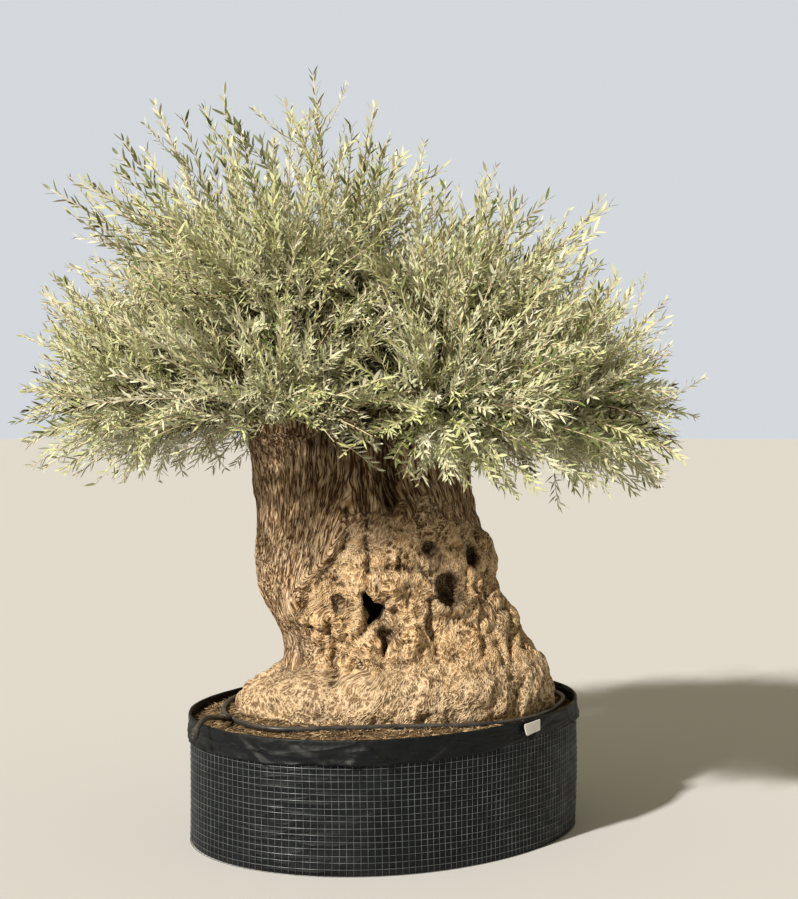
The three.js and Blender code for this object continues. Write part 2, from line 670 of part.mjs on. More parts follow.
// The drip ring: one closed loop of pipe round the trunk, resting on the soil, and its feed.
function makeDripRing() {
  const z = SOIL_TOP + PIPE + GAP;
  const loop = new THREE.CatmullRomCurve3(RING_LINE.map(([x, y]) => new THREE.Vector3(x, y, z)), true);
  const upward = new THREE.Vector3(0, 0, 1);
  const drawnRadius = 1000;
  const circle = new THREE.TorusGeometry(drawnRadius, PIPE, PIPE_SIDES, PIPE_STEPS);
  const ring = reshape(circle, (vertex) => {
    const share = Math.atan2(vertex.y, vertex.x) / (2 * Math.PI);
    const at = (share + 1) % 1;
    const outward = Math.hypot(vertex.x, vertex.y) - drawnRadius;
    const lift = vertex.z;
    const { side } = across(loop.getTangent(at), upward);
    vertex.copy(loop.getPoint(at)).addScaledVector(side, -outward).addScaledVector(upward, lift);
  });
  const feed = new THREE.CatmullRomCurve3(FEED_LINE.map((point) => new THREE.Vector3(...point)));
  return wasm.Manifold.union([
    solidOf(ring),
    solidOf(limb(feed, PIPE, PIPE, PIPE_SIDES, 8)),
    solidOf(limb(feed, FITTING, FITTING, PIPE_SIDES, 1, 0.02, 0.16)),
    solidOf(limb(feed, FITTING, FITTING, PIPE_SIDES, 1, 0.84, 0.98)),
  ]);
}

// The blank tag, flat against one of the cuff's flats.
function makeTag() {
  const { middle, facing } = hoopFlat(TAG_FLAT, WIRE / 2 + CUFF_AWAY + CUFF);
  const plate = new THREE.BoxGeometry(TAG.thick, TAG.wide, TAG.high);
  plate.translate(GAP + TAG.thick / 2, -TAG.toFront, 0).rotateZ(facing);
  const z = CAGE_HEIGHT + FOLD / 2 - TAG.below - TAG.high / 2;
  return solidOf(plate.translate(middle.x, middle.y, z));
}

const parts = new THREE.Group();
// Adds the biggest body of a solid to the parts under a name.
const addPart = (name, solid, material) => parts.add(meshOf(name, biggestBody(solid), material));

addPart("liner", makeLiner(), MATERIALS.cloth);
addPart("wire_cage", makeCage(), MATERIALS.wire);
addPart("soil", makeSoil(), MATERIALS.soil);
const trunk = biggestBody(makeTrunk());
addPart("trunk", trunk, MATERIALS.bark);

const masses = layOutMasses();
for (const mass of masses) mass.curve = limbCurve(mass);
const tipsOf = new Map(masses.map((mass) => [mass, []]));
for (const tip of shootTips()) {
  const nearest = masses.reduce((best, mass) =>
    mass.middle.distanceTo(tip) < best.middle.distanceTo(tip) ? mass : best,
  );
  tipsOf.get(nearest).push(tip);
}
const cutters = wasm.Manifold.union(masses.map(boughCutter)).add(trunk);
for (const mass of masses) addPart(mass.bough, makeBough(mass, trunk), MATERIALS.bark);
masses.forEach((mass, number) => {
  const grown = growMass(masses, mass, tipsOf.get(mass), number);
  addPart(mass.name, grown.subtract(cutters), MATERIALS.foliage);
});

addPart("drip_ring", makeDripRing(), MATERIALS.pipe);
addPart("tag", makeTag(), MATERIALS.tag);

export default parts;
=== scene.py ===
import json
import math

import bpy
import numpy as np
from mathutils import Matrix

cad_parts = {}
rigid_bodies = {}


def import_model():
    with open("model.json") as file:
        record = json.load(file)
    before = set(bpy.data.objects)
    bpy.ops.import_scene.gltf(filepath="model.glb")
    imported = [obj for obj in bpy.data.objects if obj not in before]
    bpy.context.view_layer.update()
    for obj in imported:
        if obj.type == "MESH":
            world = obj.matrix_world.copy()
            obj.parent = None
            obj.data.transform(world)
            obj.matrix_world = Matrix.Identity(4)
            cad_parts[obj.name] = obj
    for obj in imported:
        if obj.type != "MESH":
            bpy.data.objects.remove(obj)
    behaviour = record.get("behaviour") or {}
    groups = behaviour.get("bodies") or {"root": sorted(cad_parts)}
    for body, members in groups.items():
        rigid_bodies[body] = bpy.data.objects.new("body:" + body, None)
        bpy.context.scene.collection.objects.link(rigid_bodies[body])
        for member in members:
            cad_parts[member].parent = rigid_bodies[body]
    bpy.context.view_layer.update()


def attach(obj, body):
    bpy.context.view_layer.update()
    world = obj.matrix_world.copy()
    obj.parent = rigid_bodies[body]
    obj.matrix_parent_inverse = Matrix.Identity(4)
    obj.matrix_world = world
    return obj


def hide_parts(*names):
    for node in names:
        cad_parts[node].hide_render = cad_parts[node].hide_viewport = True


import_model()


# Camera. It stands where the photograph was taken from: seven metres in front of the tree, at head
# height and looking slightly down.
CAMERA_AT = (0.05, -7.2, 1.75)
CAMERA_DOWN = math.radians(1.85)
# The picture's width and the lens's focal length, in pixels.
FRAME_WIDE = 798
FOCAL_PIXELS = 1800

camera_data = bpy.data.cameras.new("camera")
camera_data.sensor_fit = "HORIZONTAL"
camera_data.lens = camera_data.sensor_width * FOCAL_PIXELS / FRAME_WIDE
camera = bpy.data.objects.new("camera", camera_data)
camera.location = CAMERA_AT
camera.rotation_euler = (math.pi / 2 - CAMERA_DOWN, 0, 0)
bpy.context.scene.collection.objects.link(camera)
bpy.context.scene.camera = camera


# Floor and light. A plain pale floor that runs on into a pale backdrop, under soft studio light
# that is brightest from the upper left in front, where the sun stood.
FLOOR_RADIUS = 60
FLOOR_SIDES = 128
FLOOR_COLOUR = (0.57, 0.58, 0.60, 1)
# The light that comes from all around, and the pale backdrop as the camera sees it.
SKY_LIGHT = (0.36, 0.315, 0.215, 1)
SKY_SEEN = (0.66, 0.69, 0.72, 1)
SUN_STRENGTH = 5.8
SUN_COLOUR = (1, 0.93, 0.82)
SUN_WIDE = math.radians(3)
SUN_TURN = (math.radians(58), 0, math.radians(-40))


def add(tree, kind, values=None, **settings):
    """A shader node of a kind, its inputs set to values or linked to other nodes' sockets."""
    node = tree.nodes.new(kind)
    for name, setting in settings.items():
        setattr(node, name, setting)
    for name, value in (values or {}).items():
        if isinstance(value, bpy.types.NodeSocket):
            tree.links.new(value, node.inputs[name])
        else:
            node.inputs[name].default_value = value
    return node


def mix(tree, amount, first, second):
    """The colour between two others, by an amount from 0 to 1."""
    return add(tree, "ShaderNodeMix", {0: amount, 6: first, 7: second}, data_type="RGBA").outputs[2]


def new_material(name, **sockets):
    """A material with its tree and its shader, whose sockets are named with _ for a space."""
    material = bpy.data.materials.new(name)
    material.use_nodes = True
    shader = material.node_tree.nodes["Principled BSDF"]
    for socket, value in sockets.items():
        shader.inputs[socket.replace("_", " ")].default_value = value
    return material, material.node_tree, shader


def mesh_piece(name, places, faces, materials, tones=None, smooth=True):
    """A mesh object from an array of places and a list of arrays of faces. Tones pick materials."""
    corners = np.concatenate([part.ravel() for part in faces])
    sizes = np.concatenate([np.full(len(part), part.shape[1]) for part in faces])
    mesh = bpy.data.meshes.new(name)
    mesh.vertices.add(len(places))
    mesh.vertices.foreach_set("co", np.ascontiguousarray(places, dtype=np.float32).ravel())
    mesh.loops.add(len(corners))
    mesh.loops.foreach_set("vertex_index", corners.astype(np.int32))
    mesh.polygons.add(len(sizes))
    mesh.polygons.foreach_set("loop_start", (np.cumsum(sizes) - sizes).astype(np.int32))
    for material in materials:
        mesh.materials.append(material)
    if tones is not None:
        mesh.polygons.foreach_set("material_index", tones.astype(np.int32))
    mesh.polygons.foreach_set("use_smooth", np.full(len(sizes), smooth))
    mesh.update(calc_edges=True)
    piece = bpy.data.objects.new(name, mesh)
    bpy.context.scene.collection.objects.link(piece)
    return piece


world = bpy.data.worlds.new("soft_light")
world.use_nodes = True
backdrop = world.node_tree.nodes["Background"]
seen = add(world.node_tree, "ShaderNodeLightPath").outputs["Is Camera Ray"]
world.node_tree.links.new(mix(world.node_tree, seen, SKY_LIGHT, SKY_SEEN), backdrop.inputs["Color"])
bpy.context.scene.world = world
# The standard transform keeps the contrast of warm sunlight, which the default one washes out.
bpy.context.scene.view_settings.view_transform = "Standard"

sun_data = bpy.data.lights.new("sun", "SUN")
sun_data.energy = SUN_STRENGTH
sun_data.color = SUN_COLOUR
sun_data.angle = SUN_WIDE
sun = bpy.data.objects.new("sun", sun_data)
sun.rotation_euler = SUN_TURN
bpy.context.scene.collection.objects.link(sun)

floor_angles = np.arange(FLOOR_SIDES) * 2 * math.pi / FLOOR_SIDES
floor_corners = FLOOR_RADIUS * np.stack([
    np.cos(floor_angles), np.sin(floor_angles), np.zeros(FLOOR_SIDES)], axis=-1)
floor_finish, _, _ = new_material("pale_floor", Base_Color=FLOOR_COLOUR, Roughness=0.9)
floor = mesh_piece("floor", floor_corners, [np.arange(FLOOR_SIDES)[None]], [floor_finish])


# Wire cage. A hoop of galvanised mesh, welded from 1.8 mm wire in 25 mm squares and cut from a
# roll half a metre wide. It stands on the ground, a little out of round from the soil's push.
HOOP_RADIUS = 0.755
OUT_OF_ROUND = 0.1
LONG_AXIS = math.radians(45)
CAGE_HEIGHT = 0.5
WIRE = 0.0018
SQUARE = 0.025
# Dents and bulges of the wall: the deepest, and how many of two kinds go round it.
DENT = 0.004
WIDE_DENTS = 5
SMALL_DENTS = 11
SMALL_DENT_SHARE = 0.7
WIRE_WAVE = 0.0025
# The top wire lies lowest at one side.
RIM_SAG = 0.012
LOWEST_RIM_AT = math.radians(235)
WIRE_SIDES = 5
WIRE_POINTS = 9
WIRE_END = 0.001
# The hoops are welded to the outside of the uprights, pressed a little into them.
HOOP_OUTSIDE = 0.8 * WIRE


def unit(vectors):
    """Vectors brought to length 1."""
    return vectors / np.linalg.norm(vectors, axis=-1, keepdims=True)


def hoop_place(angle, out, z):
    """A place by its angle round the hoop, its distance outside it and its height."""
    share = z / CAGE_HEIGHT
    waves = np.sin(WIDE_DENTS * angle + 1) + SMALL_DENT_SHARE * np.sin(SMALL_DENTS * angle)
    dent = DENT * waves * np.sin(math.pi * share)
    sag = RIM_SAG * np.cos(angle - LOWEST_RIM_AT) * share ** 2
    far = (HOOP_RADIUS + out + dent) * (1 + OUT_OF_ROUND * np.cos(2 * (angle - LONG_AXIS)))
    return np.stack([far * np.cos(angle), far * np.sin(angle), z - sag], axis=-1)


def across(directions, references):
    """Unit vectors to the side and upward, seen along directions."""
    side = unit(np.cross(references, directions))
    return side, np.cross(directions, side)


def steady_references(directions):
    """For each direction, an axis that is never close to it."""
    upright = np.abs(directions[..., 2:]) >= 0.8
    return np.where(upright, (1.0, 0.0, 0.0), (0.0, 0.0, 1.0))


def tubes(lines, radii, sides, closed=False):
    """Round tubes along many lines at once, given as tubes x points x 3."""
    count, steps = lines.shape[:2]
    if closed:
        tangents = unit(np.roll(lines, -1, axis=1) - np.roll(lines, 1, axis=1))
        references = np.zeros((count, 1, 3)) + (0.0, 0.0, 1.0)
    else:
        tangents = unit(np.gradient(lines, axis=1))
        references = steady_references(unit(lines[:, -1:] - lines[:, :1]))
    side, up = across(tangents, np.broadcast_to(references, tangents.shape))
    turn = 2 * math.pi * np.arange(sides) / sides
    ring = np.cos(turn)[:, None] * side[:, :, None] + np.sin(turn)[:, None] * up[:, :, None]
    spread = np.broadcast_to(radii, (count, steps))[:, :, None, None]
    places = lines[:, :, None] + spread * ring
    index = np.arange(count * steps * sides).reshape(count, steps, sides)
    beside = np.roll(index, -1, axis=2)
    ahead = np.roll(index, -1, axis=1) if closed else index[:, 1:]
    ahead_beside = np.roll(ahead, -1, axis=2)
    near, near_beside = (index, beside) if closed else (index[:, :-1], beside[:, :-1])
    faces = [np.stack([near, near_beside, ahead_beside, ahead], axis=-1).reshape(-1, 4)]
    if not closed:
        faces += [index[:, 0, ::-1], index[:, -1]]
    return places.reshape(-1, 3), faces


def joined(*shapes):
    """Several (places, faces) shapes as one."""
    places, faces, first = [], [], 0
    for shape_places, shape_faces in shapes:
        places.append(shape_places)
        faces += [part + first for part in shape_faces]
        first += len(shape_places)
    return np.concatenate(places), faces


def new_group(name, inputs, outputs):
    """An empty shader node group, from its inputs as (name, kind, value) and outputs as (name, kind)."""
    group = bpy.data.node_groups.new(name, "ShaderNodeTree")
    for label, kind, value in inputs:
        socket = group.interface.new_socket(label, in_out="INPUT", socket_type=f"NodeSocket{kind}")
        if value is not None:
            socket.default_value = value
    for label, kind in outputs:
        group.interface.new_socket(label, in_out="OUTPUT", socket_type=f"NodeSocket{kind}")
    return group, group.nodes.new("NodeGroupInput").outputs, group.nodes.new("NodeGroupOutput").inputs


def place_group(tree, group, **values):
    """A group placed in a material with its own values, named with _ for a space."""
    node = tree.nodes.new("ShaderNodeGroup")
    node.node_tree = group
    for name, value in values.items():
        socket = node.inputs[name.replace("_", " ")]
        if isinstance(value, bpy.types.NodeSocket):
            tree.links.new(value, socket)
        else:
            socket.default_value = value
    return node.outputs


# Mottle: two colours mixed in soft blotches of a given size, with finer specks in them.
mottle, given, made = new_group(
    "mottle",
    [("Place", "Vector", None), ("Size", "Float", 0.05), ("Dark", "Color", (0, 0, 0, 1)),
     ("Light", "Color", (1, 1, 1, 1)), ("Contrast", "Float", 1.0)],
    [("Color", "Color"), ("Mask", "Float")],
)
scale = add(mottle, "ShaderNodeMath", {0: 1.0, 1: given["Size"]}, operation="DIVIDE")
blotch = add(mottle, "ShaderNodeTexNoise", {
    "Vector": given["Place"], "Scale": scale.outputs[0], "Detail": 6.0, "Roughness": 0.62})
centred = add(mottle, "ShaderNodeMath", {0: blotch.outputs["Fac"], 1: 0.5}, operation="SUBTRACT")
harder = add(mottle, "ShaderNodeMath", {0: given["Contrast"], 1: 3.0}, operation="MULTIPLY")
mask = add(mottle, "ShaderNodeMath", {
    0: centred.outputs[0], 1: harder.outputs[0], 2: 0.5}, operation="MULTIPLY_ADD", use_clamp=True)
mottle.links.new(mix(mottle, mask.outputs[0], given["Dark"], given["Light"]), made["Color"])
mottle.links.new(mask.outputs[0], made["Mask"])

# Dust: pale dust that gathers on what faces upward and low down near the ground.
DUST_COLOUR = (0.38, 0.29, 0.20, 1)
dust, given, made = new_group(
    "dust",
    [("Color", "Color", (0, 0, 0, 1)), ("Amount", "Float", 0.5), ("Low Height", "Float", 0.1)],
    [("Color", "Color"), ("Mask", "Float")],
)
surface = add(dust, "ShaderNodeNewGeometry")
object_place = add(dust, "ShaderNodeTexCoord").outputs["Object"]
facing = add(dust, "ShaderNodeSeparateXYZ", {"Vector": surface.outputs["Normal"]}).outputs["Z"]
height = add(dust, "ShaderNodeSeparateXYZ", {"Vector": object_place}).outputs["Z"]
upward = add(dust, "ShaderNodeMapRange", {"Value": facing, "From Min": 0.1, "From Max": 1.0})
low = add(dust, "ShaderNodeMapRange", {
    "Value": height, "From Min": given["Low Height"], "From Max": 0.0, "To Max": 0.55})
cover = add(dust, "ShaderNodeMath", {0: upward.outputs[0], 1: low.outputs[0]}, operation="MAXIMUM")
patches = add(dust, "ShaderNodeTexNoise", {"Vector": object_place, "Scale": 14.0, "Detail": 5.0})
uneven = add(dust, "ShaderNodeMapRange", {
    "Value": patches.outputs["Fac"], "From Min": 0.35, "From Max": 0.7, "To Min": 0.15, "To Max": 1.3})
thick = add(dust, "ShaderNodeMath", {
    0: cover.outputs[0], 1: uneven.outputs[0]}, operation="MULTIPLY", use_clamp=True)
amount = add(dust, "ShaderNodeMath", {
    0: thick.outputs[0], 1: given["Amount"]}, operation="MULTIPLY", use_clamp=True)
dust.links.new(mix(dust, amount.outputs[0], given["Color"], DUST_COLOUR), made["Color"])
dust.links.new(amount.outputs[0], made["Mask"])

zinc, tree, shader = new_material("galvanised_wire", Metallic=0.75, Specular_IOR_Level=0.5)
place = add(tree, "ShaderNodeTexCoord").outputs["Object"]
patina = place_group(
    tree, mottle, Place=place, Size=0.05, Dark=(0.080, 0.094, 0.106, 1), Light=(0.27, 0.305, 0.335, 1))
covered = place_group(tree, dust, Color=patina["Color"], Amount=0.15, Low_Height=0.05)
tree.links.new(covered["Color"], shader.inputs["Base Color"])
dulled = add(tree, "ShaderNodeMapRange", {"Value": patina["Mask"], "To Min": 0.6, "To Max": 0.38})
tree.links.new(dulled.outputs[0], shader.inputs["Roughness"])

uprights = round(2 * math.pi * HOOP_RADIUS / SQUARE)
rows = round(CAGE_HEIGHT / SQUARE)
upright_angles = 2 * math.pi * np.arange(uprights) / uprights
heights = np.linspace(WIRE_END, CAGE_HEIGHT - WIRE_END, WIRE_POINTS)
lean = WIRE_WAVE * np.sin(3 * upright_angles[:, None] + 9 * heights[None, :]) / HOOP_RADIUS
upright_lines = hoop_place(upright_angles[:, None] + lean, 0.0, heights[None, :])
hoop_angles = 2 * math.pi * np.arange(2 * uprights) / (2 * uprights)
hoop_heights = np.linspace(WIRE / 2, CAGE_HEIGHT - WIRE / 2, rows + 1)
hoop_waves = WIRE_WAVE * np.sin(4 * hoop_angles[None, :] + 1.9 * np.arange(rows + 1)[:, None])
hoop_waves *= np.sin(math.pi * hoop_heights[:, None] / CAGE_HEIGHT)
hoop_lines = hoop_place(hoop_angles[None, :], HOOP_OUTSIDE, hoop_heights[:, None] + hoop_waves)
cage = mesh_piece("wire_mesh", *joined(
    tubes(upright_lines, WIRE / 2, WIRE_SIDES),
    tubes(hoop_lines, WIRE / 2, WIRE_SIDES, closed=True),
), [zinc])
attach(cage, "root")
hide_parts("wire_cage")


# Lining. Black woven ground cloth stands inside the mesh, floor and all, and is folded out over
# the top wire into a loose cuff that hangs in shallow wrinkles, deeper at the left than the right.
CLOTH = 0.0015
CLOTH_AT = -0.0014
CUFF_AT = 0.0045
CUFF_DROP = 0.088
CUFF_DROP_AT_RIGHT = 0.062
FOLD_HEIGHT = 0.007
# Wrinkles: how far they stand out, their two sizes, and how much longer than wide they are.
WRINKLE = 0.013
WRINKLE_SIZE = 0.16
SMALL_WRINKLE_SIZE = 0.07
SMALL_WRINKLE_SHARE = 0.6
WRINKLE_STRETCH = 2.4
HEM_WAVE = 0.006
HEM_WAVE_SIZE = 0.11
# Gathered folds of the cuff: their angle round the hoop from its right side and their half width,
# in degrees, then their slant and how far they stand out.
CUFF_FOLDS = [
    (-97, 1.0, 1.6, 1.1), (-93, 2.2, -1.2, 0.8), (-118, 2.6, 2.4, 0.7), (-131, 1.4, 1.8, 0.9),
    (-66, 1.3, -2.0, 0.9), (-58, 2.6, 1.5, 0.7), (-29, 1.2, -1.5, 0.9), (-14, 1.6, 1.0, 0.9),
]
CLOTH_SEGMENTS = 560
WALL_STEPS = 16
CUFF_STEPS = 14
# It is woven of flat tapes this wide, and creased at a slant where it is pulled tight.
TAPE = 0.0028
CREASE_SLANT = math.radians(-28)
# Noise is made from random gradients on a grid of this many places each way.
LATTICE = 32
GRADIENTS = unit(np.random.default_rng(7).normal(size=(LATTICE, LATTICE, LATTICE, 3)))
# Each seed reads the grid this far from the last one, and the sum is brought to about 1 at most.
SEED_STEP = 17.31
NOISE_GAIN = 1.6


def noise(places, size, seed=0):
    """Smooth noise from about -1 to 1, with lumps of a size."""
    spots = places / size + SEED_STEP * seed
    low = np.floor(spots)
    part = spots - low
    low = low.astype(int)
    fade = part ** 3 * (part * (part * 6 - 15) + 10)
    total = 0
    for corner in np.ndindex(2, 2, 2):
        x, y, z = np.moveaxis((low + corner) % LATTICE, -1, 0)
        weight = np.where(corner, fade, 1 - fade).prod(axis=-1)
        total = total + weight * (GRADIENTS[x, y, z] * (part - corner)).sum(axis=-1)
    return NOISE_GAIN * total


def steps_between(start, end, count):
    """Points of a profile from one to another, without the last one."""
    return [tuple(row) for row in np.linspace(start, end, count, endpoint=False)]


def ring_shape(rings):
    """A closed shape from rings of places, rings x segments x 3, with a flat cap at each end."""
    count, segments = rings.shape[:2]
    index = np.arange(count * segments).reshape(count, segments)
    beside = np.roll(index, -1, axis=1)
    sides = np.stack([index[:-1], beside[:-1], beside[1:], index[1:]], axis=-1).reshape(-1, 4)
    return rings.reshape(-1, 3), [sides, index[:1, ::-1], index[-1:]]


# The profile: how far out, how high, and how loosely the cloth hangs there.
rim_top = CAGE_HEIGHT + 0.002
cuff_foot = CAGE_HEIGHT - CUFF_DROP
cloth_profile = np.array([
    (CLOTH_AT - 0.010, 0.0003, 0), (CLOTH_AT - 0.003, 0.002, 0),
    *steps_between((CLOTH_AT, 0.009, 0), (CLOTH_AT, rim_top, 0), WALL_STEPS),
    (CLOTH_AT, rim_top, 0), (0, rim_top + 0.004, 0.1), (0.003, rim_top + 0.004, 0.15),
    *steps_between((CUFF_AT, rim_top, 0.2), (CUFF_AT, cuff_foot, 1), CUFF_STEPS),
    (CUFF_AT, cuff_foot, 1), (CUFF_AT + CLOTH, cuff_foot, 1),
    *steps_between((CUFF_AT + CLOTH, cuff_foot, 1), (CUFF_AT + CLOTH, rim_top, 0.2), CUFF_STEPS)[1:],
    (CUFF_AT + CLOTH, rim_top, 0.2), (0.0045, rim_top + FOLD_HEIGHT - 0.001, 0.18),
    (0.001, rim_top + FOLD_HEIGHT, 0.12), (CLOTH_AT - 0.002, rim_top + FOLD_HEIGHT - 0.002, 0.1),
    *steps_between((CLOTH_AT - CLOTH, rim_top, 0), (CLOTH_AT - CLOTH, 0.006, 0), WALL_STEPS),
    (CLOTH_AT - CLOTH, 0.006, 0),
])
cloth_angles = 2 * math.pi * np.arange(CLOTH_SEGMENTS) / CLOTH_SEGMENTS
out, height, loose = (values[:, None] for values in cloth_profile.T)
plain = hoop_place(cloth_angles[None, :], out, height + 0 * cloth_angles)
stretched = plain * (1, 1, WRINKLE_STRETCH)
slanting = stretched + 0.5 * plain[..., 2:]
wrinkles = np.abs(noise(stretched, WRINKLE_SIZE))
wrinkles = wrinkles + SMALL_WRINKLE_SHARE * np.abs(noise(slanting, SMALL_WRINKLE_SIZE, seed=1))
for fold_at, fold_wide, slant, stand in CUFF_FOLDS:
    away = cloth_angles - math.radians(fold_at) % (2 * math.pi) - slant * (rim_top - height)
    wrinkles = wrinkles + stand * np.exp(-(away / math.radians(fold_wide)) ** 2)
right_side = np.clip(np.cos(cloth_angles + 0.25), 0, 1) ** 3
drop = CUFF_DROP + (CUFF_DROP_AT_RIGHT - CUFF_DROP) * right_side
hem = (CAGE_HEIGHT - height) / CUFF_DROP * (drop - CUFF_DROP)
hem = hem + HEM_WAVE * noise(plain, HEM_WAVE_SIZE, seed=2)
cloth_rings = hoop_place(
    cloth_angles[None, :], out + WRINKLE * loose * (wrinkles - 0.1), height - loose * hem)

ground_cloth, tree, shader = new_material("ground_cloth", Specular_IOR_Level=0.21)
place = add(tree, "ShaderNodeTexCoord").outputs["Object"]
axes = add(tree, "ShaderNodeSeparateXYZ", {"Vector": place})
round_hoop = add(tree, "ShaderNodeMath", {
    0: axes.outputs["Y"], 1: axes.outputs["X"]}, operation="ARCTAN2").outputs[0]
black = place_group(
    tree, mottle, Place=place, Size=0.09,
    Dark=(0.0010, 0.0022, 0.0034, 1), Light=(0.0040, 0.0058, 0.0072, 1))
covered = place_group(tree, dust, Color=black["Color"], Amount=0.03, Low_Height=0.03)
tree.links.new(covered["Color"], shader.inputs["Base Color"])
sheen = add(tree, "ShaderNodeMapRange", {"Value": black["Mask"], "To Min": 0.44, "To Max": 0.60})
tree.links.new(sheen.outputs[0], shader.inputs["Roughness"])


def ripple(tree, value, factor):
    """The height of even ripples along a value, from 0 in each dip to 1."""
    turned = add(tree, "ShaderNodeMath", {0: value, 1: factor}, operation="MULTIPLY")
    wave = add(tree, "ShaderNodeMath", {0: turned.outputs[0]}, operation="SINE")
    return add(tree, "ShaderNodeMath", {0: wave.outputs[0]}, operation="ABSOLUTE").outputs[0]


# The soil presses the cloth out a little in each square of the mesh.
pillow = add(tree, "ShaderNodeMath", {
    0: ripple(tree, round_hoop, uprights / 2),
    1: ripple(tree, axes.outputs["Z"], math.pi / SQUARE),
}, operation="MULTIPLY")
tapes = add(tree, "ShaderNodeMath", {
    0: ripple(tree, round_hoop, math.pi * HOOP_RADIUS / TAPE),
    1: ripple(tree, axes.outputs["Z"], math.pi / TAPE),
}, operation="MULTIPLY")
slanted = add(tree, "ShaderNodeMapping", {
    "Vector": place, "Rotation": (0, CREASE_SLANT, 0), "Scale": (5.0, 5.0, 26.0)}).outputs[0]
creases = add(tree, "ShaderNodeTexNoise", {
    "Vector": slanted, "Scale": 1.0, "Detail": 3.0, "Distortion": 0.5, "Offset": 0.85},
    noise_type="RIDGED_MULTIFRACTAL", normalize=True)
pillow_bump = add(tree, "ShaderNodeBump", {"Height": pillow.outputs[0], "Strength": 0.25, "Distance": 0.002})
tape_bump = add(tree, "ShaderNodeBump", {
    "Height": tapes.outputs[0], "Strength": 0.25, "Distance": 0.0006, "Normal": pillow_bump.outputs[0]})
crease_bump = add(tree, "ShaderNodeBump", {
    "Height": creases.outputs["Fac"], "Strength": 0.6, "Distance": 0.008, "Normal": tape_bump.outputs[0]})
tree.links.new(crease_bump.outputs[0], shader.inputs["Normal"])

lining = mesh_piece("lining_and_cuff", *ring_shape(cloth_rings), [ground_cloth])
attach(lining, "root")
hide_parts("liner")


# Soil. The root ball fills the lining to just under its rim, level under the trunk and a little
# lower at the wall. Its top is a litter of dry leaves and bits of root, which lie on it loose.
SOIL_TOP = 0.482
SOIL_AT_WALL = 0.469
SOIL_FLOOR = 0.0064
SOIL_SEGMENTS = 300
# How far out the surface begins, as a share, under the trunk, and the rings from there to the wall.
SOIL_FROM = 0.3
SOIL_RINGS = 56
# Its surface falls over this stretch beside the wall: where it starts and how wide it is.
SOIL_SLOPE_AT = 0.62
SOIL_SLOPE = 0.12
# Its surface has soft humps and crumbs: how high they are, and their sizes.
HUMP = 0.005
HUMP_SIZE = 0.09
CRUMB = 0.003
CRUMB_SIZE = 0.025
# More bits of litter are drawn than are used, because none may lie on the trunk's foot.
LITTER = 9000
LITTER_DRAWN = 3 * LITTER
# It is spread evenly from here to the wall, as a share of the soil's area.
LITTER_FROM = 0.28
LITTER_LEAF = 0.034
LITTER_LENGTHS = (0.5, 1.15)
# How high bits of litter lie over the soil, and how much they slope, roll and curl.
LITTER_LIFT = (0.0005, 0.007)
LITTER_SLOPE = 0.13
LITTER_ROLL = 0.4
LITTER_CURL = 0.25
# Width for length of a whole leaf, a rolled one and a bit of root, and the share of each.
LITTER_SHAPES = [0.20, 0.13, 0.06]
LITTER_SHARES = [0.3, 0.35, 0.35]
LITTER_TONES = [
    (0.30, 0.195, 0.100, 1), (0.17, 0.105, 0.052, 1), (0.42, 0.30, 0.165, 1), (0.085, 0.055, 0.030, 1),
    (0.50, 0.40, 0.25, 1),
]
# The trunk's foot, seen from above, where no litter lies.
FOOT_AT = np.array((0.0275, 0.0))
FOOT_REACH = np.array((0.655, 0.455))
FOOT_CLEAR = 0.93
# A leaf's outline, along it and across it, as shares of its length and its width, and a plainer one.
LEAF_OUTLINE = np.array([(0, 0), (0.3, 0.5), (0.68, 0.42), (1, 0), (0.68, -0.42), (0.3, -0.5)])
PLAIN_LEAF_OUTLINE = np.array([(0, 0), (0.42, 0.5), (1, 0), (0.42, -0.5)])


def soil_height(places):
    """The height of the soil's surface at places whose own height doesn't count."""
    flat = places * (1, 1, 0)
    edge = np.clip((np.linalg.norm(flat, axis=-1) - SOIL_SLOPE_AT) / SOIL_SLOPE, 0, 1)
    level = SOIL_TOP + (SOIL_AT_WALL - SOIL_TOP) * edge
    return level + HUMP * noise(flat, HUMP_SIZE, seed=3) + CRUMB * noise(flat, CRUMB_SIZE, seed=4)


def leaf_shapes(outline, roots, directions, normals, lengths, widths, arches):
    """Leaves of an outline, pointed at both ends and arched along their length, as places and faces."""
    along, wide = outline.T
    sides = np.cross(directions, normals)
    forward = (along * lengths[:, None])[..., None] * directions[:, None]
    sideways = (wide * widths[:, None])[..., None] * sides[:, None]
    fall = (along ** 2 * (arches * lengths)[:, None])[..., None] * normals[:, None]
    places = roots[:, None] + forward + sideways - fall
    corners = len(outline)
    tip = corners // 2
    index = np.arange(corners * len(roots)).reshape(-1, corners)
    faces = [index[:, [0, 1, corners - 1]], index[:, [tip - 1, tip, tip + 1]]]
    if tip > 2:
        faces.append(index[:, [1, 2, 4, 5]])
    return places.reshape(-1, 3), faces


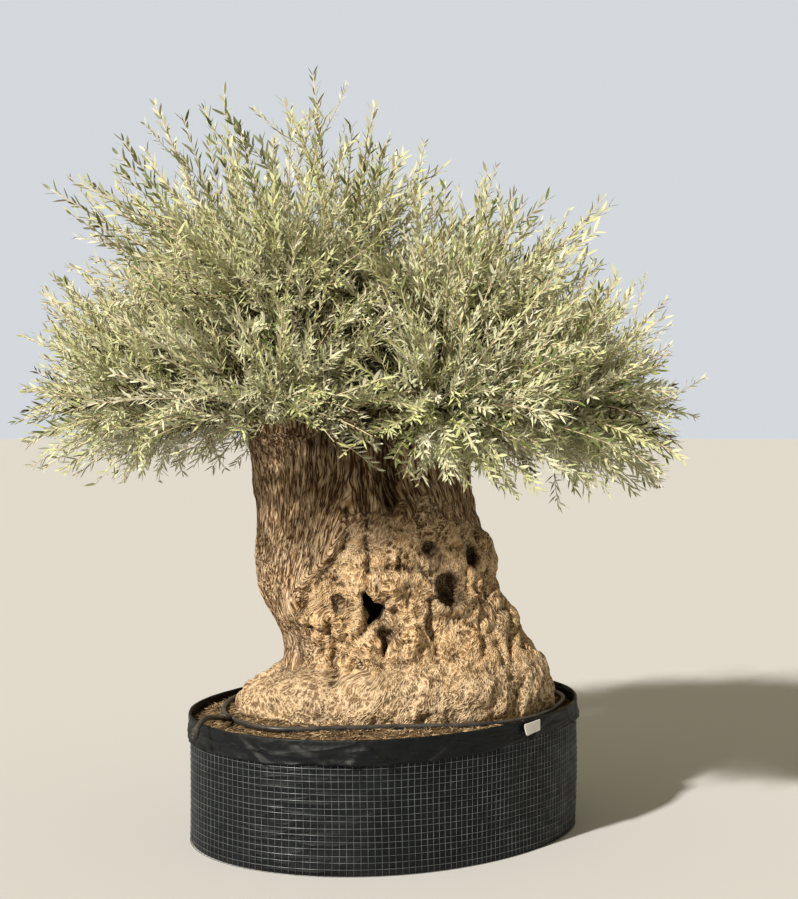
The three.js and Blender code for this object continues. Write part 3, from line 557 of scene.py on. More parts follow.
soil_shares = np.concatenate([np.linspace(SOIL_FROM, 1, SOIL_RINGS), [1, 1]])[:, None]
soil_angles = 2 * math.pi * np.arange(SOIL_SEGMENTS) / SOIL_SEGMENTS
rim = hoop_place(soil_angles[None, :], CLOTH_AT - CLOTH - 0.0004, SOIL_TOP + 0 * soil_angles)
soil_rings = rim * np.concatenate([
    np.tile(soil_shares, (1, 2)), np.ones((len(soil_shares), 1))], axis=1)[:, None]
soil_rings[..., 2] = soil_height(soil_rings)
soil_rings[-2:] = hoop_place(soil_angles[None, :], -0.02, np.array([[0.45], [SOIL_FLOOR]]))
earth, tree, shader = new_material("soil", Roughness=0.95, Specular_IOR_Level=0.15)
place = add(tree, "ShaderNodeTexCoord").outputs["Object"]
crumbs = place_group(
    tree, mottle, Place=place, Size=0.03, Dark=(0.035, 0.022, 0.012, 1), Light=(0.21, 0.135, 0.068, 1),
    Contrast=1.3)
tree.links.new(crumbs["Color"], shader.inputs["Base Color"])
grit = add(tree, "ShaderNodeTexNoise", {"Vector": place, "Scale": 160.0, "Detail": 6.0, "Roughness": 0.7})
grit_bump = add(tree, "ShaderNodeBump", {"Height": grit.outputs["Fac"], "Strength": 0.9, "Distance": 0.006})
tree.links.new(grit_bump.outputs[0], shader.inputs["Normal"])
soil = mesh_piece("soil_bed", *ring_shape(soil_rings[::-1]), [earth])
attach(soil, "root")
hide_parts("soil")

draw = np.random.default_rng(31)
angles = draw.uniform(0, 2 * math.pi, LITTER_DRAWN)
shares = np.sqrt(draw.uniform(LITTER_FROM, 1, LITTER_DRAWN))
litter_at = hoop_place(angles, -1.1 * LITTER_LEAF, SOIL_TOP + 0 * angles)
litter_at[:, :2] *= shares[:, None]
outside_foot = np.linalg.norm((litter_at[:, :2] - FOOT_AT) / FOOT_REACH, axis=-1) > FOOT_CLEAR
litter_at = litter_at[outside_foot][:LITTER]
litter_at[:, 2] = soil_height(litter_at) + draw.uniform(*LITTER_LIFT, len(litter_at))
headings = draw.uniform(0, 2 * math.pi, len(litter_at))
slopes = draw.normal(0, LITTER_SLOPE, len(litter_at))
lying = unit(np.stack([np.cos(headings), np.sin(headings), slopes], axis=-1))
roll = draw.normal(0, LITTER_ROLL, (len(litter_at), 3)) * (1, 1, 0) + (0, 0, 1)
facing = unit(roll - (roll * lying).sum(axis=-1, keepdims=True) * lying)
lengths = LITTER_LEAF * draw.uniform(*LITTER_LENGTHS, len(litter_at))
widths = lengths * draw.choice(LITTER_SHAPES, len(litter_at), p=LITTER_SHARES)
litter_arches = draw.uniform(-LITTER_CURL, LITTER_CURL, len(litter_at))
litter_shape = leaf_shapes(PLAIN_LEAF_OUTLINE, litter_at, lying, facing, lengths, widths, litter_arches)
litter_finishes = [
    new_material(f"dry_leaf_{number}", Base_Color=tone, Roughness=0.8)[0]
    for number, tone in enumerate(LITTER_TONES, start=1)
]
faces_a_leaf = len(litter_shape[1])
litter_tones = np.tile(draw.integers(0, len(LITTER_TONES), len(litter_at)), faces_a_leaf)
litter = mesh_piece("leaf_litter", *litter_shape, litter_finishes, litter_tones)
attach(litter, "root")


# Trunk and boughs. One very old olive, cut back to three heads. Its left column is bark in long
# braided strips that run together downward; the rest is burl, lumpy and full of hollows, and it
# spreads at its foot into a spongy mound. The boughs leave the heads, each one tapering limb.
TRUNK_SECTIONS = np.array([
    # height, then the reach to the left, right, front and back
    (0.4750, 0.602, 0.655, 0.430, 0.430), (0.540, 0.578, 0.662, 0.455, 0.450),
    (0.600, 0.510, 0.655, 0.440, 0.440), (0.665, 0.424, 0.628, 0.410, 0.420),
    (0.740, 0.408, 0.566, 0.385, 0.400), (0.830, 0.436, 0.505, 0.370, 0.385),
    (0.920, 0.474, 0.458, 0.360, 0.375), (1.010, 0.505, 0.436, 0.352, 0.365),
    (1.100, 0.520, 0.418, 0.345, 0.355), (1.240, 0.516, 0.368, 0.330, 0.340),
    (1.340, 0.522, 0.345, 0.300, 0.330), (1.430, 0.528, 0.335, 0.255, 0.295),
    (1.520, 0.534, 0.322, 0.205, 0.255), (1.560, 0.505, 0.290, 0.160, 0.215),
    (1.590, 0.420, 0.205, 0.085, 0.130),
])
LEFT, RIGHT, FRONT, BACK = 1, 2, 3, 4
# Forms on the front: across, up, half width, half height, and how far they stand out.
FRONT_FORMS = [
    (0.025, 1.430, 0.070, 0.140, -0.120),  # valley between the two columns
    (-0.300, 1.330, 0.150, 0.260, 0.026),  # swelling of the left column
    (0.195, 1.265, 0.130, 0.150, 0.034),  # swelling of the right column
    (0.385, 1.125, 0.050, 0.085, 0.030),  # ear beside the slot
    (-0.245, 0.890, 0.110, 0.105, 0.045),  # burl under the left column
    (-0.360, 0.960, 0.050, 0.120, 0.018),  # left side of the column's foot
    (0.060, 1.010, 0.190, 0.036, 0.026),  # lip over the hollows
    (0.262, 0.915, 0.080, 0.034, 0.026),  # lip of the wide hollow
    (0.330, 0.840, 0.070, 0.080, 0.022),  # shoulder under the wide hollow
    (0.475, 0.900, 0.065, 0.075, 0.028),  # shoulder on the right flank
    (0.092, 0.800, 0.062, 0.110, 0.030),  # lobe in the middle
    (-0.060, 0.720, 0.150, 0.040, -0.022),  # crease beside the lobe
    (0.583, 0.700, 0.060, 0.090, 0.034),  # knob on the right flank
    (-0.465, 0.600, 0.090, 0.064, 0.026),  # knob on the left of the foot
    (-0.290, 0.695, 0.095, 0.065, 0.036),  # knob above the left of the foot
    (0.020, 0.640, 0.130, 0.050, 0.018),  # swell of the foot in the middle
    (0.300, 0.620, 0.120, 0.060, 0.020),  # swell of the foot on the right
]
FORM_EDGE = 1.4
# Seeded burls: the heights where they sit, their sizes and how far they stand out.
BURLS = 30
BURL_HEIGHTS = (0.542, 1.300)
BURL_SIZES = (0.070, 0.130)
BURL_STANDS = (0.016, 0.040)
BURL_SEED = 11
# Where they are calmer: on the front, past this sine of their angle, and on the left, past this
# cosine of it and above this height.
CALM_BURL = 0.3
CALM_FRONT = -0.2
CALM_LEFT = -0.5
CALM_LEFT_ABOVE = 0.7
# The pruned heads: foot, top and the radius at each.
HEADS = [
    ((-0.345, -0.020, 1.380), (-0.420, -0.030, 1.700), 0.186, 0.142),
    ((0.180, 0.000, 1.380), (0.236, 0.012, 1.630), 0.150, 0.118),
    ((-0.060, 0.120, 1.380), (-0.046, 0.205, 1.660), 0.160, 0.120),
]
# Rounded hollows, by their middles and half sizes, and how dark the painted shade inside them is.
HOLLOWS = [
    ((-0.180, -0.372, 0.944), (0.026, 0.034, 0.046), 0.45),  # dent left of the dark hole
    ((0.252, -0.322, 0.984), (0.068, 0.098, 0.076), 0.85),  # wide hollow under its lip
    ((0.167, -0.338, 1.146), (0.029, 0.062, 0.027), 0.95),  # small dark hole
    ((0.332, -0.228, 1.108), (0.026, 0.074, 0.054), 0.85),  # upright slot on the right
    ((0.150, 0.372, 1.010), (0.060, 0.090, 0.095), 0.60),  # hollows at the back
    ((-0.250, 0.330, 1.180), (0.044, 0.070, 0.060), 0.60),
]
# Holes with an outline of their own, across and up. The first is deep and the second shallow.
DARK_HOLE = [
    (-0.090, 0.990), (-0.056, 0.984), (-0.026, 0.960), (-0.006, 0.922), (-0.018, 0.884), (-0.040, 0.868),
    (-0.054, 0.846), (-0.080, 0.856), (-0.064, 0.892), (-0.072, 0.912), (-0.090, 0.938),
]
KEYHOLE = [
    (-0.036, 0.848), (-0.006, 0.854), (0.032, 0.848), (0.028, 0.806), (0.018, 0.772), (0.012, 0.730),
    (-0.014, 0.718), (-0.026, 0.760), (-0.028, 0.800), (-0.040, 0.824),
]
# Lines on the front that stand out or sink in, by their points across and up, then width and height.
FRONT_LINES = [
    ([(-0.065, 1.030), (0.034, 1.040), (0.125, 1.030), (0.172, 1.000), (0.186, 0.950), (0.220, 0.912),
      (0.285, 0.910), (0.325, 0.940)], 0.017, 0.028),  # brow over the hollows and round the wide one
    ([(-0.060, 1.068), (0.040, 1.078), (0.135, 1.066), (0.205, 1.030)], 0.013, -0.016),  # fold above it
    ([(-0.078, 1.190), (-0.064, 1.110), (-0.075, 1.040), (-0.070, 0.985)], 0.009, -0.026),  # crack above
    ([(0.172, 0.955), (0.174, 0.900), (0.165, 0.850), (0.188, 0.812)], 0.011, -0.032),  # crack beside
    ([(0.030, 0.905), (0.052, 0.850), (0.042, 0.800), (0.056, 0.740)], 0.010, -0.016),  # beside the lobe
    ([(0.085, 0.912), (0.108, 0.860), (0.112, 0.790), (0.090, 0.745)], 0.018, 0.020),  # the lobe's ridge
    ([(0.070, 0.850), (0.092, 0.838), (0.088, 0.800), (0.066, 0.788)], 0.007, -0.018),  # whorl in the lobe
    ([(-0.105, 0.985), (-0.100, 0.920), (-0.092, 0.860)], 0.014, 0.016),  # rim of the dark hole
    ([(-0.330, 0.835), (-0.250, 0.815), (-0.150, 0.775), (-0.080, 0.745)], 0.016, -0.014),  # under the burl
    ([(-0.150, 1.300), (-0.140, 1.220), (-0.160, 1.150), (-0.225, 1.070), (-0.300, 0.985), (-0.335, 0.900)],
     0.015, -0.020),  # column's edge
    ([(0.262, 1.190), (0.290, 1.140), (0.300, 1.080), (0.340, 1.040)], 0.012, 0.018),  # lip of the slot
    ([(-0.050, 1.640), (-0.038, 1.340), (-0.022, 1.220)], 0.019, 0.022),  # rib under the crown
    ([(0.000, 1.640), (0.006, 1.440), (0.014, 1.330)], 0.022, -0.030),  # hollow to its right
    ([(-0.100, 1.640), (-0.092, 1.360), (-0.076, 1.250)], 0.014, -0.022),  # groove to its left
    ([(-0.205, 0.725), (-0.190, 0.690), (-0.205, 0.640)], 0.016, -0.022),  # crease beside the foot's knob
]
# Where the trunk's surface is at each of the two holes, and how deep they go behind it.
DARK_HOLE_AT = -0.355
DARK_HOLE_DEEP = 0.18
KEYHOLE_AT = -0.385
KEYHOLE_DEEP = 0.05
# A hole's cutter starts this far in front of the surface. Its outline's size is given there, at the
# surface, at a share of its depth and at its end.
CUT_FROM = 0.16
NARROWS_AT = 0.6
CUT_SIZES = (1.2, 1.0, 0.9, 0.6)
TRUNK_SIDES = 300
TRUNK_RINGS = 170
HEAD_SIDES = 40
HEAD_RINGS = 9
HOLLOW_SIDES = 32
HOLLOW_RINGS = 17
HOLLOW_UNEVEN = 0.22
# The rounded top of a head: how high it is for its radius, and the angles along its curve.
HEAD_CROWNED = 0.45
HEAD_ROUNDING = np.linspace(0.2, 1.45, 7)
BOUGH_SIDES = 20
BOUGH_RINGS = 14
# The rough shape is melted into one skin of squares of this size.
VOXEL = 0.0072
# The skin is smoothed above this height, where the heads and boughs join it.
BLEND_FROM = 1.36
BLEND_OVER = 0.1
BLEND_PASSES = 14


def seeded(seed):
    """The same seeded random numbers from 0 to 1 as the solids grow by, as a function."""
    state = [seed]

    def draw():
        full = 0xFFFFFFFF
        state[0] = (state[0] + 0x6D2B79F5) & full
        mixed = ((state[0] ^ (state[0] >> 15)) * (state[0] | 1)) & full
        mixed ^= (mixed + (mixed ^ (mixed >> 7)) * (mixed | 61)) & full
        return (mixed ^ (mixed >> 14)) / (full + 1)

    return draw


def lerp(start, end, share):
    """What lies a share of the way from one value to another."""
    return start + (end - start) * share


def smoothstep(start, end, value):
    """0 before start and 1 after end, with a soft rise between."""
    share = np.clip((value - start) / (end - start), 0, 1)
    return share * share * (3 - 2 * share)


def section_at(z, side):
    """The trunk's reach to one side at heights, on a smooth line through its sections."""
    heights, reaches = TRUNK_SECTIONS[:, 0], TRUNK_SECTIONS[:, side]
    last = len(heights) - 1
    i = np.clip(np.searchsorted(heights, z) - 1, 0, last - 1)
    t = np.clip((z - heights[i]) / (heights[i + 1] - heights[i]), 0, 1)
    a, b, c, d = (reaches[np.clip(i + n, 0, last)] for n in (-1, 0, 1, 2))
    bow = (c - a) * t + (2 * a - 5 * b + 4 * c - d) * t ** 2 + (3 * b - a - 3 * c + d) * t ** 3
    return b + 0.5 * bow


def trunk_middle(z):
    """How far right the trunk's own middle line lies at heights."""
    return (section_at(z, RIGHT) - section_at(z, LEFT)) / 2


def trunk_halves(y, z):
    """The trunk's half width at heights, and its half depth on the side where y lies."""
    half_wide = (section_at(z, LEFT) + section_at(z, RIGHT)) / 2
    half_deep = np.where(y < 0, section_at(z, FRONT), section_at(z, BACK))
    return half_wide, half_deep


def make_burls():
    """The burls: angle, height, size and how far each stands out, calmer on the front and the left."""
    draw = seeded(BURL_SEED)
    burls = []
    for _ in range(BURLS):
        angle = draw() * 2 * math.pi
        z = lerp(*BURL_HEIGHTS, draw())
        size = lerp(*BURL_SIZES, draw())
        stand = lerp(*BURL_STANDS, draw())
        calm_on_left = math.cos(angle) < CALM_LEFT and z > CALM_LEFT_ABOVE
        calm = math.sin(angle) < CALM_FRONT or calm_on_left
        burls.append((angle, z, size, CALM_BURL * stand if calm else stand))
    return burls


def trunk_radius(angle, z):
    """How far the trunk's surface lies from its own middle line."""
    half_wide, half_deep = trunk_halves(np.sin(angle), z)
    radius = 1 / np.hypot(np.cos(angle) / half_wide, np.sin(angle) / half_deep)
    x = trunk_middle(z) + radius * np.cos(angle)
    facing = smoothstep(0, 0.3, -np.sin(angle))
    for form_x, form_z, wide, high, stand in FRONT_FORMS:
        away = ((x - form_x) / wide) ** 2 + ((z - form_z) / high) ** 2
        radius = radius + facing * stand * np.exp(-away ** FORM_EDGE)
    for burl_angle, burl_z, size, stand in make_burls():
        turn = np.arctan2(np.sin(angle - burl_angle), np.cos(angle - burl_angle))
        away = np.hypot(turn * radius, z - burl_z) / size
        radius = radius + stand * np.exp(-away * away)
    return radius


def trunk_shape():
    """The trunk up to its fork, without its finer relief."""
    angles = 2 * math.pi * np.arange(TRUNK_SIDES)[None, :] / TRUNK_SIDES
    z = np.linspace(TRUNK_SECTIONS[0, 0], TRUNK_SECTIONS[-1, 0], TRUNK_RINGS)[:, None]
    radii = trunk_radius(angles, z)
    x = trunk_middle(z) + radii * np.cos(angles)
    return ring_shape(np.stack([x, radii * np.sin(angles), z + 0 * angles], axis=-1))


def ellipsoid_shape(middle, half, seed):
    """A closed ellipsoid, a little uneven."""
    rises = np.linspace(-math.pi / 2, math.pi / 2, HOLLOW_RINGS + 2)[1:-1, None]
    angles = 2 * math.pi * np.arange(HOLLOW_SIDES)[None, :] / HOLLOW_SIDES
    ball = np.stack([
        np.cos(rises) * np.cos(angles), np.cos(rises) * np.sin(angles), np.sin(rises) + 0 * angles], axis=-1)
    uneven = 1 + HOLLOW_UNEVEN * noise(ball, 0.7, seed)[..., None]
    return ring_shape(np.array(middle) + np.array(half) * ball * uneven)


def hole_shape(outline, surface, deep):
    """A hole cut straight in from the front, by its outline, narrowing behind the trunk's surface."""
    points = np.array(outline)
    middle = points.mean(axis=0)
    cuts = (surface - CUT_FROM, surface, surface + NARROWS_AT * deep, surface + deep)
    rings = []
    for y, size in zip(cuts, CUT_SIZES):
        x, z = (middle + (points - middle) * size).T
        rings.append(np.stack([x, y + 0 * x, z], axis=-1))
    return ring_shape(np.array(rings))


def bezier(curves, shares):
    """Places along curves, each given by three points, at shares of their length."""
    t = np.asarray(shares, dtype=float)[..., None]
    start, bend, end = curves[..., 0, :], curves[..., 1, :], curves[..., 2, :]
    return (1 - t) ** 2 * start + 2 * t * (1 - t) * bend + t ** 2 * end


def bezier_ahead(curves, shares):
    """The directions in which curves run at shares of their length."""
    t = np.asarray(shares, dtype=float)[..., None]
    start, bend, end = curves[..., 0, :], curves[..., 1, :], curves[..., 2, :]
    return unit((1 - t) * (bend - start) + t * (end - bend))


# The crown's build, which the boughs need first: masses of foliage in two rings and one on top,
# each at the end of a limb that leaves the nearest head. Outlines are measured from the fork.
FORK = np.array((-0.10, 0.0, 1.50))
LOWER_MASSES = 8
UPPER_MASSES = 5
LOWER_RISE = math.radians(13)
UPPER_RISE = math.radians(50)
TOP_TILT = unit(np.array((-0.08, 0.02, 1.0)))
RING_OUT = 0.62
TOP_OUT = 0.72
# Reach to the left, right, front and back, upward, upward on the right, downward, and squareness.
BODY = (1.29, 1.22, 1.13, 1.18, 1.06, 0.90, 0.19, 3.2)
FRINGE = (1.35, 1.33, 1.20, 1.25, 1.515, 1.15, 0.235, 3)
# The right side, where the crown is lower, comes in between these.
TO_RIGHT = (-0.15, 0.3)
# A limb starts in a head, off its axis, and arches. This share of it is bough, the rest is stem.
BOUGH_BELOW_TOP = 0.3
BOUGH_OFF_AXIS = 0.35
BOUGH_ARCH = 0.1
BOUGH_SHARE = 0.56
BOUGH_FOOT = 0.046
BOUGH_TIP = 0.021
# A bough is stouter at its collar, and the collar ends this share of the way along it.
BOUGH_COLLAR = 0.016
COLLAR_SHARE = 0.1
STEM_TIP = 0.010


def reach(outline, directions):
    """How far an outline of the crown lies from the fork in unit directions."""
    left, right, front, back, tall, tall_on_right, down, square = outline
    x, y, z = np.moveaxis(directions, -1, 0)
    wide = np.where(x < 0, left, right)
    deep = np.where(y < 0, front, back)
    up = lerp(tall, tall_on_right, smoothstep(*TO_RIGHT, x))
    high = np.where(z < 0, down, up)
    terms = np.abs(x / wide) ** square + np.abs(y / deep) ** square + np.abs(z / high) ** square
    return terms ** (-1 / square)


def direction_of(angle, sine):
    """Unit directions from their angle round the tree and the sine of their rise."""
    flat = np.sqrt(1 - sine * sine)
    return np.stack([flat * np.cos(angle), flat * np.sin(angle), sine + 0 * angle], axis=-1)


def limb_curve(middle):
    """The curve of a mass's bough and stem, out of the nearest head and then outward."""
    low, high, _, top_radius = min(HEADS, key=lambda head: np.linalg.norm(np.array(head[1]) - middle))
    low, high = np.array(low), np.array(high)
    start = lerp(high, low, BOUGH_BELOW_TOP) + unit(middle - high) * BOUGH_OFF_AXIS * top_radius
    bend = lerp(start, middle, 0.5) + (0, 0, BOUGH_ARCH * np.linalg.norm(middle - start))
    return np.array([start, bend, middle])


def lay_out_masses():
    """The masses as (name of the ring and number, middle, curve of its limb)."""
    masses = []
    rings = [("lower", LOWER_MASSES, LOWER_RISE, math.pi / LOWER_MASSES),
             ("upper", UPPER_MASSES, UPPER_RISE, math.pi / (2 * UPPER_MASSES))]
    for ring, count, rise, turn in rings:
        for i in range(count):
            direction = direction_of(turn + i * 2 * math.pi / count, math.sin(rise))
            middle = FORK + direction * RING_OUT * reach(BODY, direction)
            masses.append((f"{ring}_{i + 1}", middle, limb_curve(middle)))
    middle = FORK + TOP_TILT * TOP_OUT * reach(BODY, TOP_TILT)
    return masses + [("top", middle, limb_curve(middle))]


masses = lay_out_masses()
limb_curves = np.array([curve for *_, curve in masses])

# The rough shape: the trunk with its holes cut, its heads and boughs, melted into one skin.
trunk_body = mesh_piece("rough_trunk", *trunk_shape(), [])
cutter_shapes = [ellipsoid_shape(at, half_size, seed) for seed, (at, half_size, _) in enumerate(HOLLOWS)]
cutter_shapes += [
    hole_shape(DARK_HOLE, DARK_HOLE_AT, DARK_HOLE_DEEP), hole_shape(KEYHOLE, KEYHOLE_AT, KEYHOLE_DEEP)]
for number, cutter_shape in enumerate(cutter_shapes):
    cutter = mesh_piece(f"cutter_{number}", *cutter_shape, [])
    cut = trunk_body.modifiers.new(cutter.name, "BOOLEAN")
    cut.operation = "DIFFERENCE"
    cut.solver = "MANIFOLD"
    cut.object = cutter


def applied_mesh(piece):
    """A copy of a piece's mesh with its modifiers applied."""
    bpy.context.view_layer.update()
    depsgraph = bpy.context.evaluated_depsgraph_get()
    return bpy.data.meshes.new_from_object(piece.evaluated_get(depsgraph))


def mesh_arrays(mesh):
    """A mesh's places and its triangles, as a shape."""
    places = np.empty((len(mesh.vertices), 3), np.float32)
    mesh.vertices.foreach_get("co", places.ravel())
    mesh.calc_loop_triangles()
    corners = np.empty((len(mesh.loop_triangles), 3), np.int32)
    mesh.loop_triangles.foreach_get("vertices", corners.ravel())
    return places.astype(float), [corners]


def head_shape(low, high, low_radius, high_radius):
    """A pruned head: a stout stump with a rounded top."""
    axis = np.array(high) - np.array(low)
    crowned = 1 + HEAD_CROWNED * high_radius * np.sin(HEAD_ROUNDING) / np.linalg.norm(axis)
    shares = np.concatenate([np.linspace(0, 1, HEAD_RINGS), crowned])
    radii = np.concatenate([
        np.linspace(low_radius, high_radius, HEAD_RINGS), high_radius * np.cos(HEAD_ROUNDING)])
    return tubes((np.array(low) + shares[:, None] * axis)[None], radii[None], HEAD_SIDES)


bough_shares = np.linspace(0, BOUGH_SHARE, BOUGH_RINGS)
bough_radii = lerp(BOUGH_FOOT, BOUGH_TIP, bough_shares / BOUGH_SHARE)
bough_radii += BOUGH_COLLAR * np.exp(-bough_shares / COLLAR_SHARE)
boughs = tubes(bezier(limb_curves[:, None], bough_shares), bough_radii, BOUGH_SIDES)
rough_shape = joined(mesh_arrays(applied_mesh(trunk_body)), *[head_shape(*head) for head in HEADS], boughs)
rough = mesh_piece("rough_wood", *rough_shape, [])
melt = rough.modifiers.new("melt", "REMESH")
melt.mode = "VOXEL"
melt.voxel_size = VOXEL
wood_mesh = applied_mesh(rough)
for spent in [piece for piece in bpy.data.objects if piece.name.startswith(("rough_", "cutter_"))]:
    bpy.data.objects.remove(spent)


# Relief. Where the heads and boughs join the trunk the skin is smoothed, and then it is raised into
# strips of bark on the left column and the back, into lumps on the burl and into a soft, fibrous
# mound at the foot. Each place also keeps how deep it lies and how far into a hollow, for painted
# shade, and which of these it is, for colour.
STRIP_WIDE = 0.027
STRIP_LONG = 9.0
STRIP_DEEP = 0.015
# Strips come in two widths, which make up these shares of their height. They are flat on top, and
# their cracks are narrow.
WIDE_STRIPS = 0.72
NARROW_STRIPS = 0.28
STRIP_FLAT = 1.5
STRIP_CRACK = 0.6
# Lumps, by their size and how far they stand out, and how round and how uneven each one is.
LUMPS = [(0.150, 0.024), (0.074, 0.025), (0.030, 0.0085)]
MOUND_LUMPS = [(0.170, 0.026), (0.085, 0.022), (0.034, 0.0095)]
LUMP_FLAT = 1.7
LUMP_CREASE = 0.7
LUMP_ROUND = 0.7
LUMP_UNEVEN = 0.6
PIT_SIZE = 0.050
PIT_DEEP = 0.008
PIT_EDGE = (0.42, 0.62)
# The right edge of the left column on the front, by height.
COLUMN_EDGE = np.array([
    (0.600, -0.330), (0.730, -0.300), (0.850, -0.322), (0.951, -0.334), (1.032, -0.282), (1.095, -0.230),
    (1.186, -0.185), (1.309, -0.135), (1.439, -0.098), (1.600, -0.110), (1.900, -0.150),
])
COLUMN_TOP = 1.52
# Half its width at the top, the least that is taken for it lower down, and the most that it gathers.
COLUMN_HALF = 0.215
COLUMN_HALF_LEAST = 0.045
GATHER_MOST = 1.25
# Below it the grain turns and fans out to the right over the mound, within these edges.
FAN_AT = np.array((-0.18, 0.80))
FAN_TURN = math.radians(52)
FAN_RIGHT_EDGE = (0.06, -0.08)
FAN_TOP_EDGE = (0.96, 0.86)
FAN_LOW_EDGE = (0.62, 0.70)
FAN_STRIPS = 0.45
# Outside the strips the grain swirls by this much, in swirls of this size.
SWIRL = 0.035
SWIRL_SIZE = 0.16
# Swirling grain gives way to straight grain where strips come in, along a ragged line.
STRAIGHT_FROM = (0.48, 0.52)
STRAIGHT_RAGGED = 0.12
STRAIGHT_RAGGED_SIZE = 0.03
# The half width and half depth of the upright column that grain is drawn on everywhere else.
ROUND_HALF_WIDE = 0.44
ROUND_HALF_DEEP = 0.36
# Borders between the kinds of bark: where each kind begins and where it is in full.
TO_FRONT = (0.10, -0.10)
COLUMN_BORDER = (0.03, -0.03)
COLUMN_FOOT = (0.63, 0.70)
BACK_FOOT = (0.66, 0.86)
RIGHT_STRINGS_ACROSS = (0.05, 0.2)
RIGHT_STRINGS_UP = (1.12, 1.38)
RIGHT_STRINGS = 0.8
UNDER_CROWN_UP = (1.23, 1.36)
UNDER_CROWN = 0.85
HEADS_UP = (1.46, 1.56)
MOUND_TOP = (0.74, 0.60)
MOUND_WANDER = 1.6
LESS_MOUND_ON_STRIPS = 0.75
# Borders wander by a smooth noise, and the upper ones are ragged as well.
WANDER = 0.05
WANDER_SIZE = 0.11
RAGGED = 0.10
RAGGED_SIZE = 0.045
# Where the shade of a hollow or a hole begins, as a share of its half size, and where it is in full.
HOLLOW_SHADE = (1.35, 0.8)
HOLE_SHADE = (1.4, 1.0)
DARK_HOLE_SHADE = 1.0
KEYHOLE_SHADE = 0.35
# Bark on the limbs is smoother, higher up.
SMOOTH_LIMBS = (2.2, 1.6)
# Lines are drawn on what faces the front, and all relief fades out just over the trunk's cut foot.
LINES_FACING = (0.2, 0.6)
FOOT_FADE = 0.02
# Lumps fade inside a hole, this steeply and by this much at most.
CALMED = 1.2
CALMED_MOST = 0.8
# What counts as deep, and over how many passes the skin around a place is averaged.
DEEP = 0.009
DEPTH_PASSES = 24


def vertex_normals(mesh):
    """The directions in which a mesh's vertices face."""
    normals = np.empty((len(mesh.vertices), 3), np.float32)
    mesh.vertex_normals.foreach_get("vector", normals.ravel())
    return normals.astype(float)


def softened(places, edges, amount, passes):
    """Places drawn towards their neighbours, by an amount from 0 to 1 at each place."""
    ends = np.concatenate([edges, edges[:, ::-1]])
    links = np.bincount(ends[:, 0], minlength=len(places))[:, None]
    for _ in range(passes):
        sums = np.stack([
            np.bincount(ends[:, 0], weights=places[ends[:, 1], axis], minlength=len(places))
            for axis in range(3)], axis=-1)
        places = lerp(places, sums / links, amount)
    return places


def line_relief(places, line, wide, stand):
    """The relief of one line on the front: how far it stands out at each place."""
    nearest = np.full(len(places), 9.0)
    flat = places[:, [0, 2]]
    for start, end in zip(np.array(line[:-1]), np.array(line[1:])):
        run = end - start
        share = np.clip((flat - start) @ run / (run @ run), 0, 1)
        nearest = np.minimum(nearest, np.linalg.norm(flat - start - share[:, None] * run, axis=1))
    return stand * np.exp(-(nearest / wide) ** 2)


def strips(flow, seed):
    """Bark in long strips along a flow, from 0 in its cracks to 1 on its strips."""
    swing = flow + 0.3 * STRIP_WIDE * noise(flow * (1, 1, 1.5 / STRIP_LONG), 2.2 * STRIP_WIDE, seed)[:, None]
    long = swing * (1, 1, 1 / STRIP_LONG)
    coarse = np.abs(noise(long, STRIP_WIDE, seed + 1))
    fine = np.abs(noise(long * (1, 1, 1.6), 0.5 * STRIP_WIDE, seed + 2))
    wide_height = np.clip(STRIP_FLAT * coarse, 0, 1) ** STRIP_CRACK
    narrow_height = np.clip(STRIP_FLAT * fine, 0, 1) ** STRIP_CRACK
    return wide_height * WIDE_STRIPS + narrow_height * NARROW_STRIPS


def lumps(places, sizes, seed):
    """Soft swells, and on them smaller lumps with sharp creases between: their height in all."""
    (swell_size, swell_high), *smaller = sizes
    bent = places + 0.25 * swell_size * noise(places, swell_size, seed)[:, None]
    bent = bent * (1, 1, 0.6)
    height = swell_high * noise(bent, swell_size, seed + 1)
    for i, (size, high) in enumerate(smaller):
        rounded = np.clip(LUMP_FLAT * np.abs(noise(bent, size, seed + 2 + i)), 0, 1) ** LUMP_CREASE - 0.5
        uneven = noise(bent, 0.8 * size, seed + 12 + i)
        height += high * (LUMP_ROUND * rounded + LUMP_UNEVEN * uneven)
    return height


places, _ = mesh_arrays(wood_mesh)
edges = np.empty((len(wood_mesh.edges), 2), np.int32)
wood_mesh.edges.foreach_get("vertices", edges.ravel())
blend = smoothstep(BLEND_FROM, BLEND_FROM + BLEND_OVER, places[:, 2:])
places = softened(places, edges, blend, BLEND_PASSES)
wood_mesh.vertices.foreach_set("co", places.astype(np.float32).ravel())
wood_mesh.update()
normals = vertex_normals(wood_mesh)
x, y, z = places.T

# Where each place is round the trunk's own middle line, so that strips run up it wherever it leans.
half_wide, half_deep = trunk_halves(y, z)
round_trunk = unit(np.stack([(x - trunk_middle(z)) / half_wide, y / half_deep], axis=-1))
upright = np.stack([ROUND_HALF_WIDE * round_trunk[:, 0], ROUND_HALF_DEEP * round_trunk[:, 1], z], axis=-1)

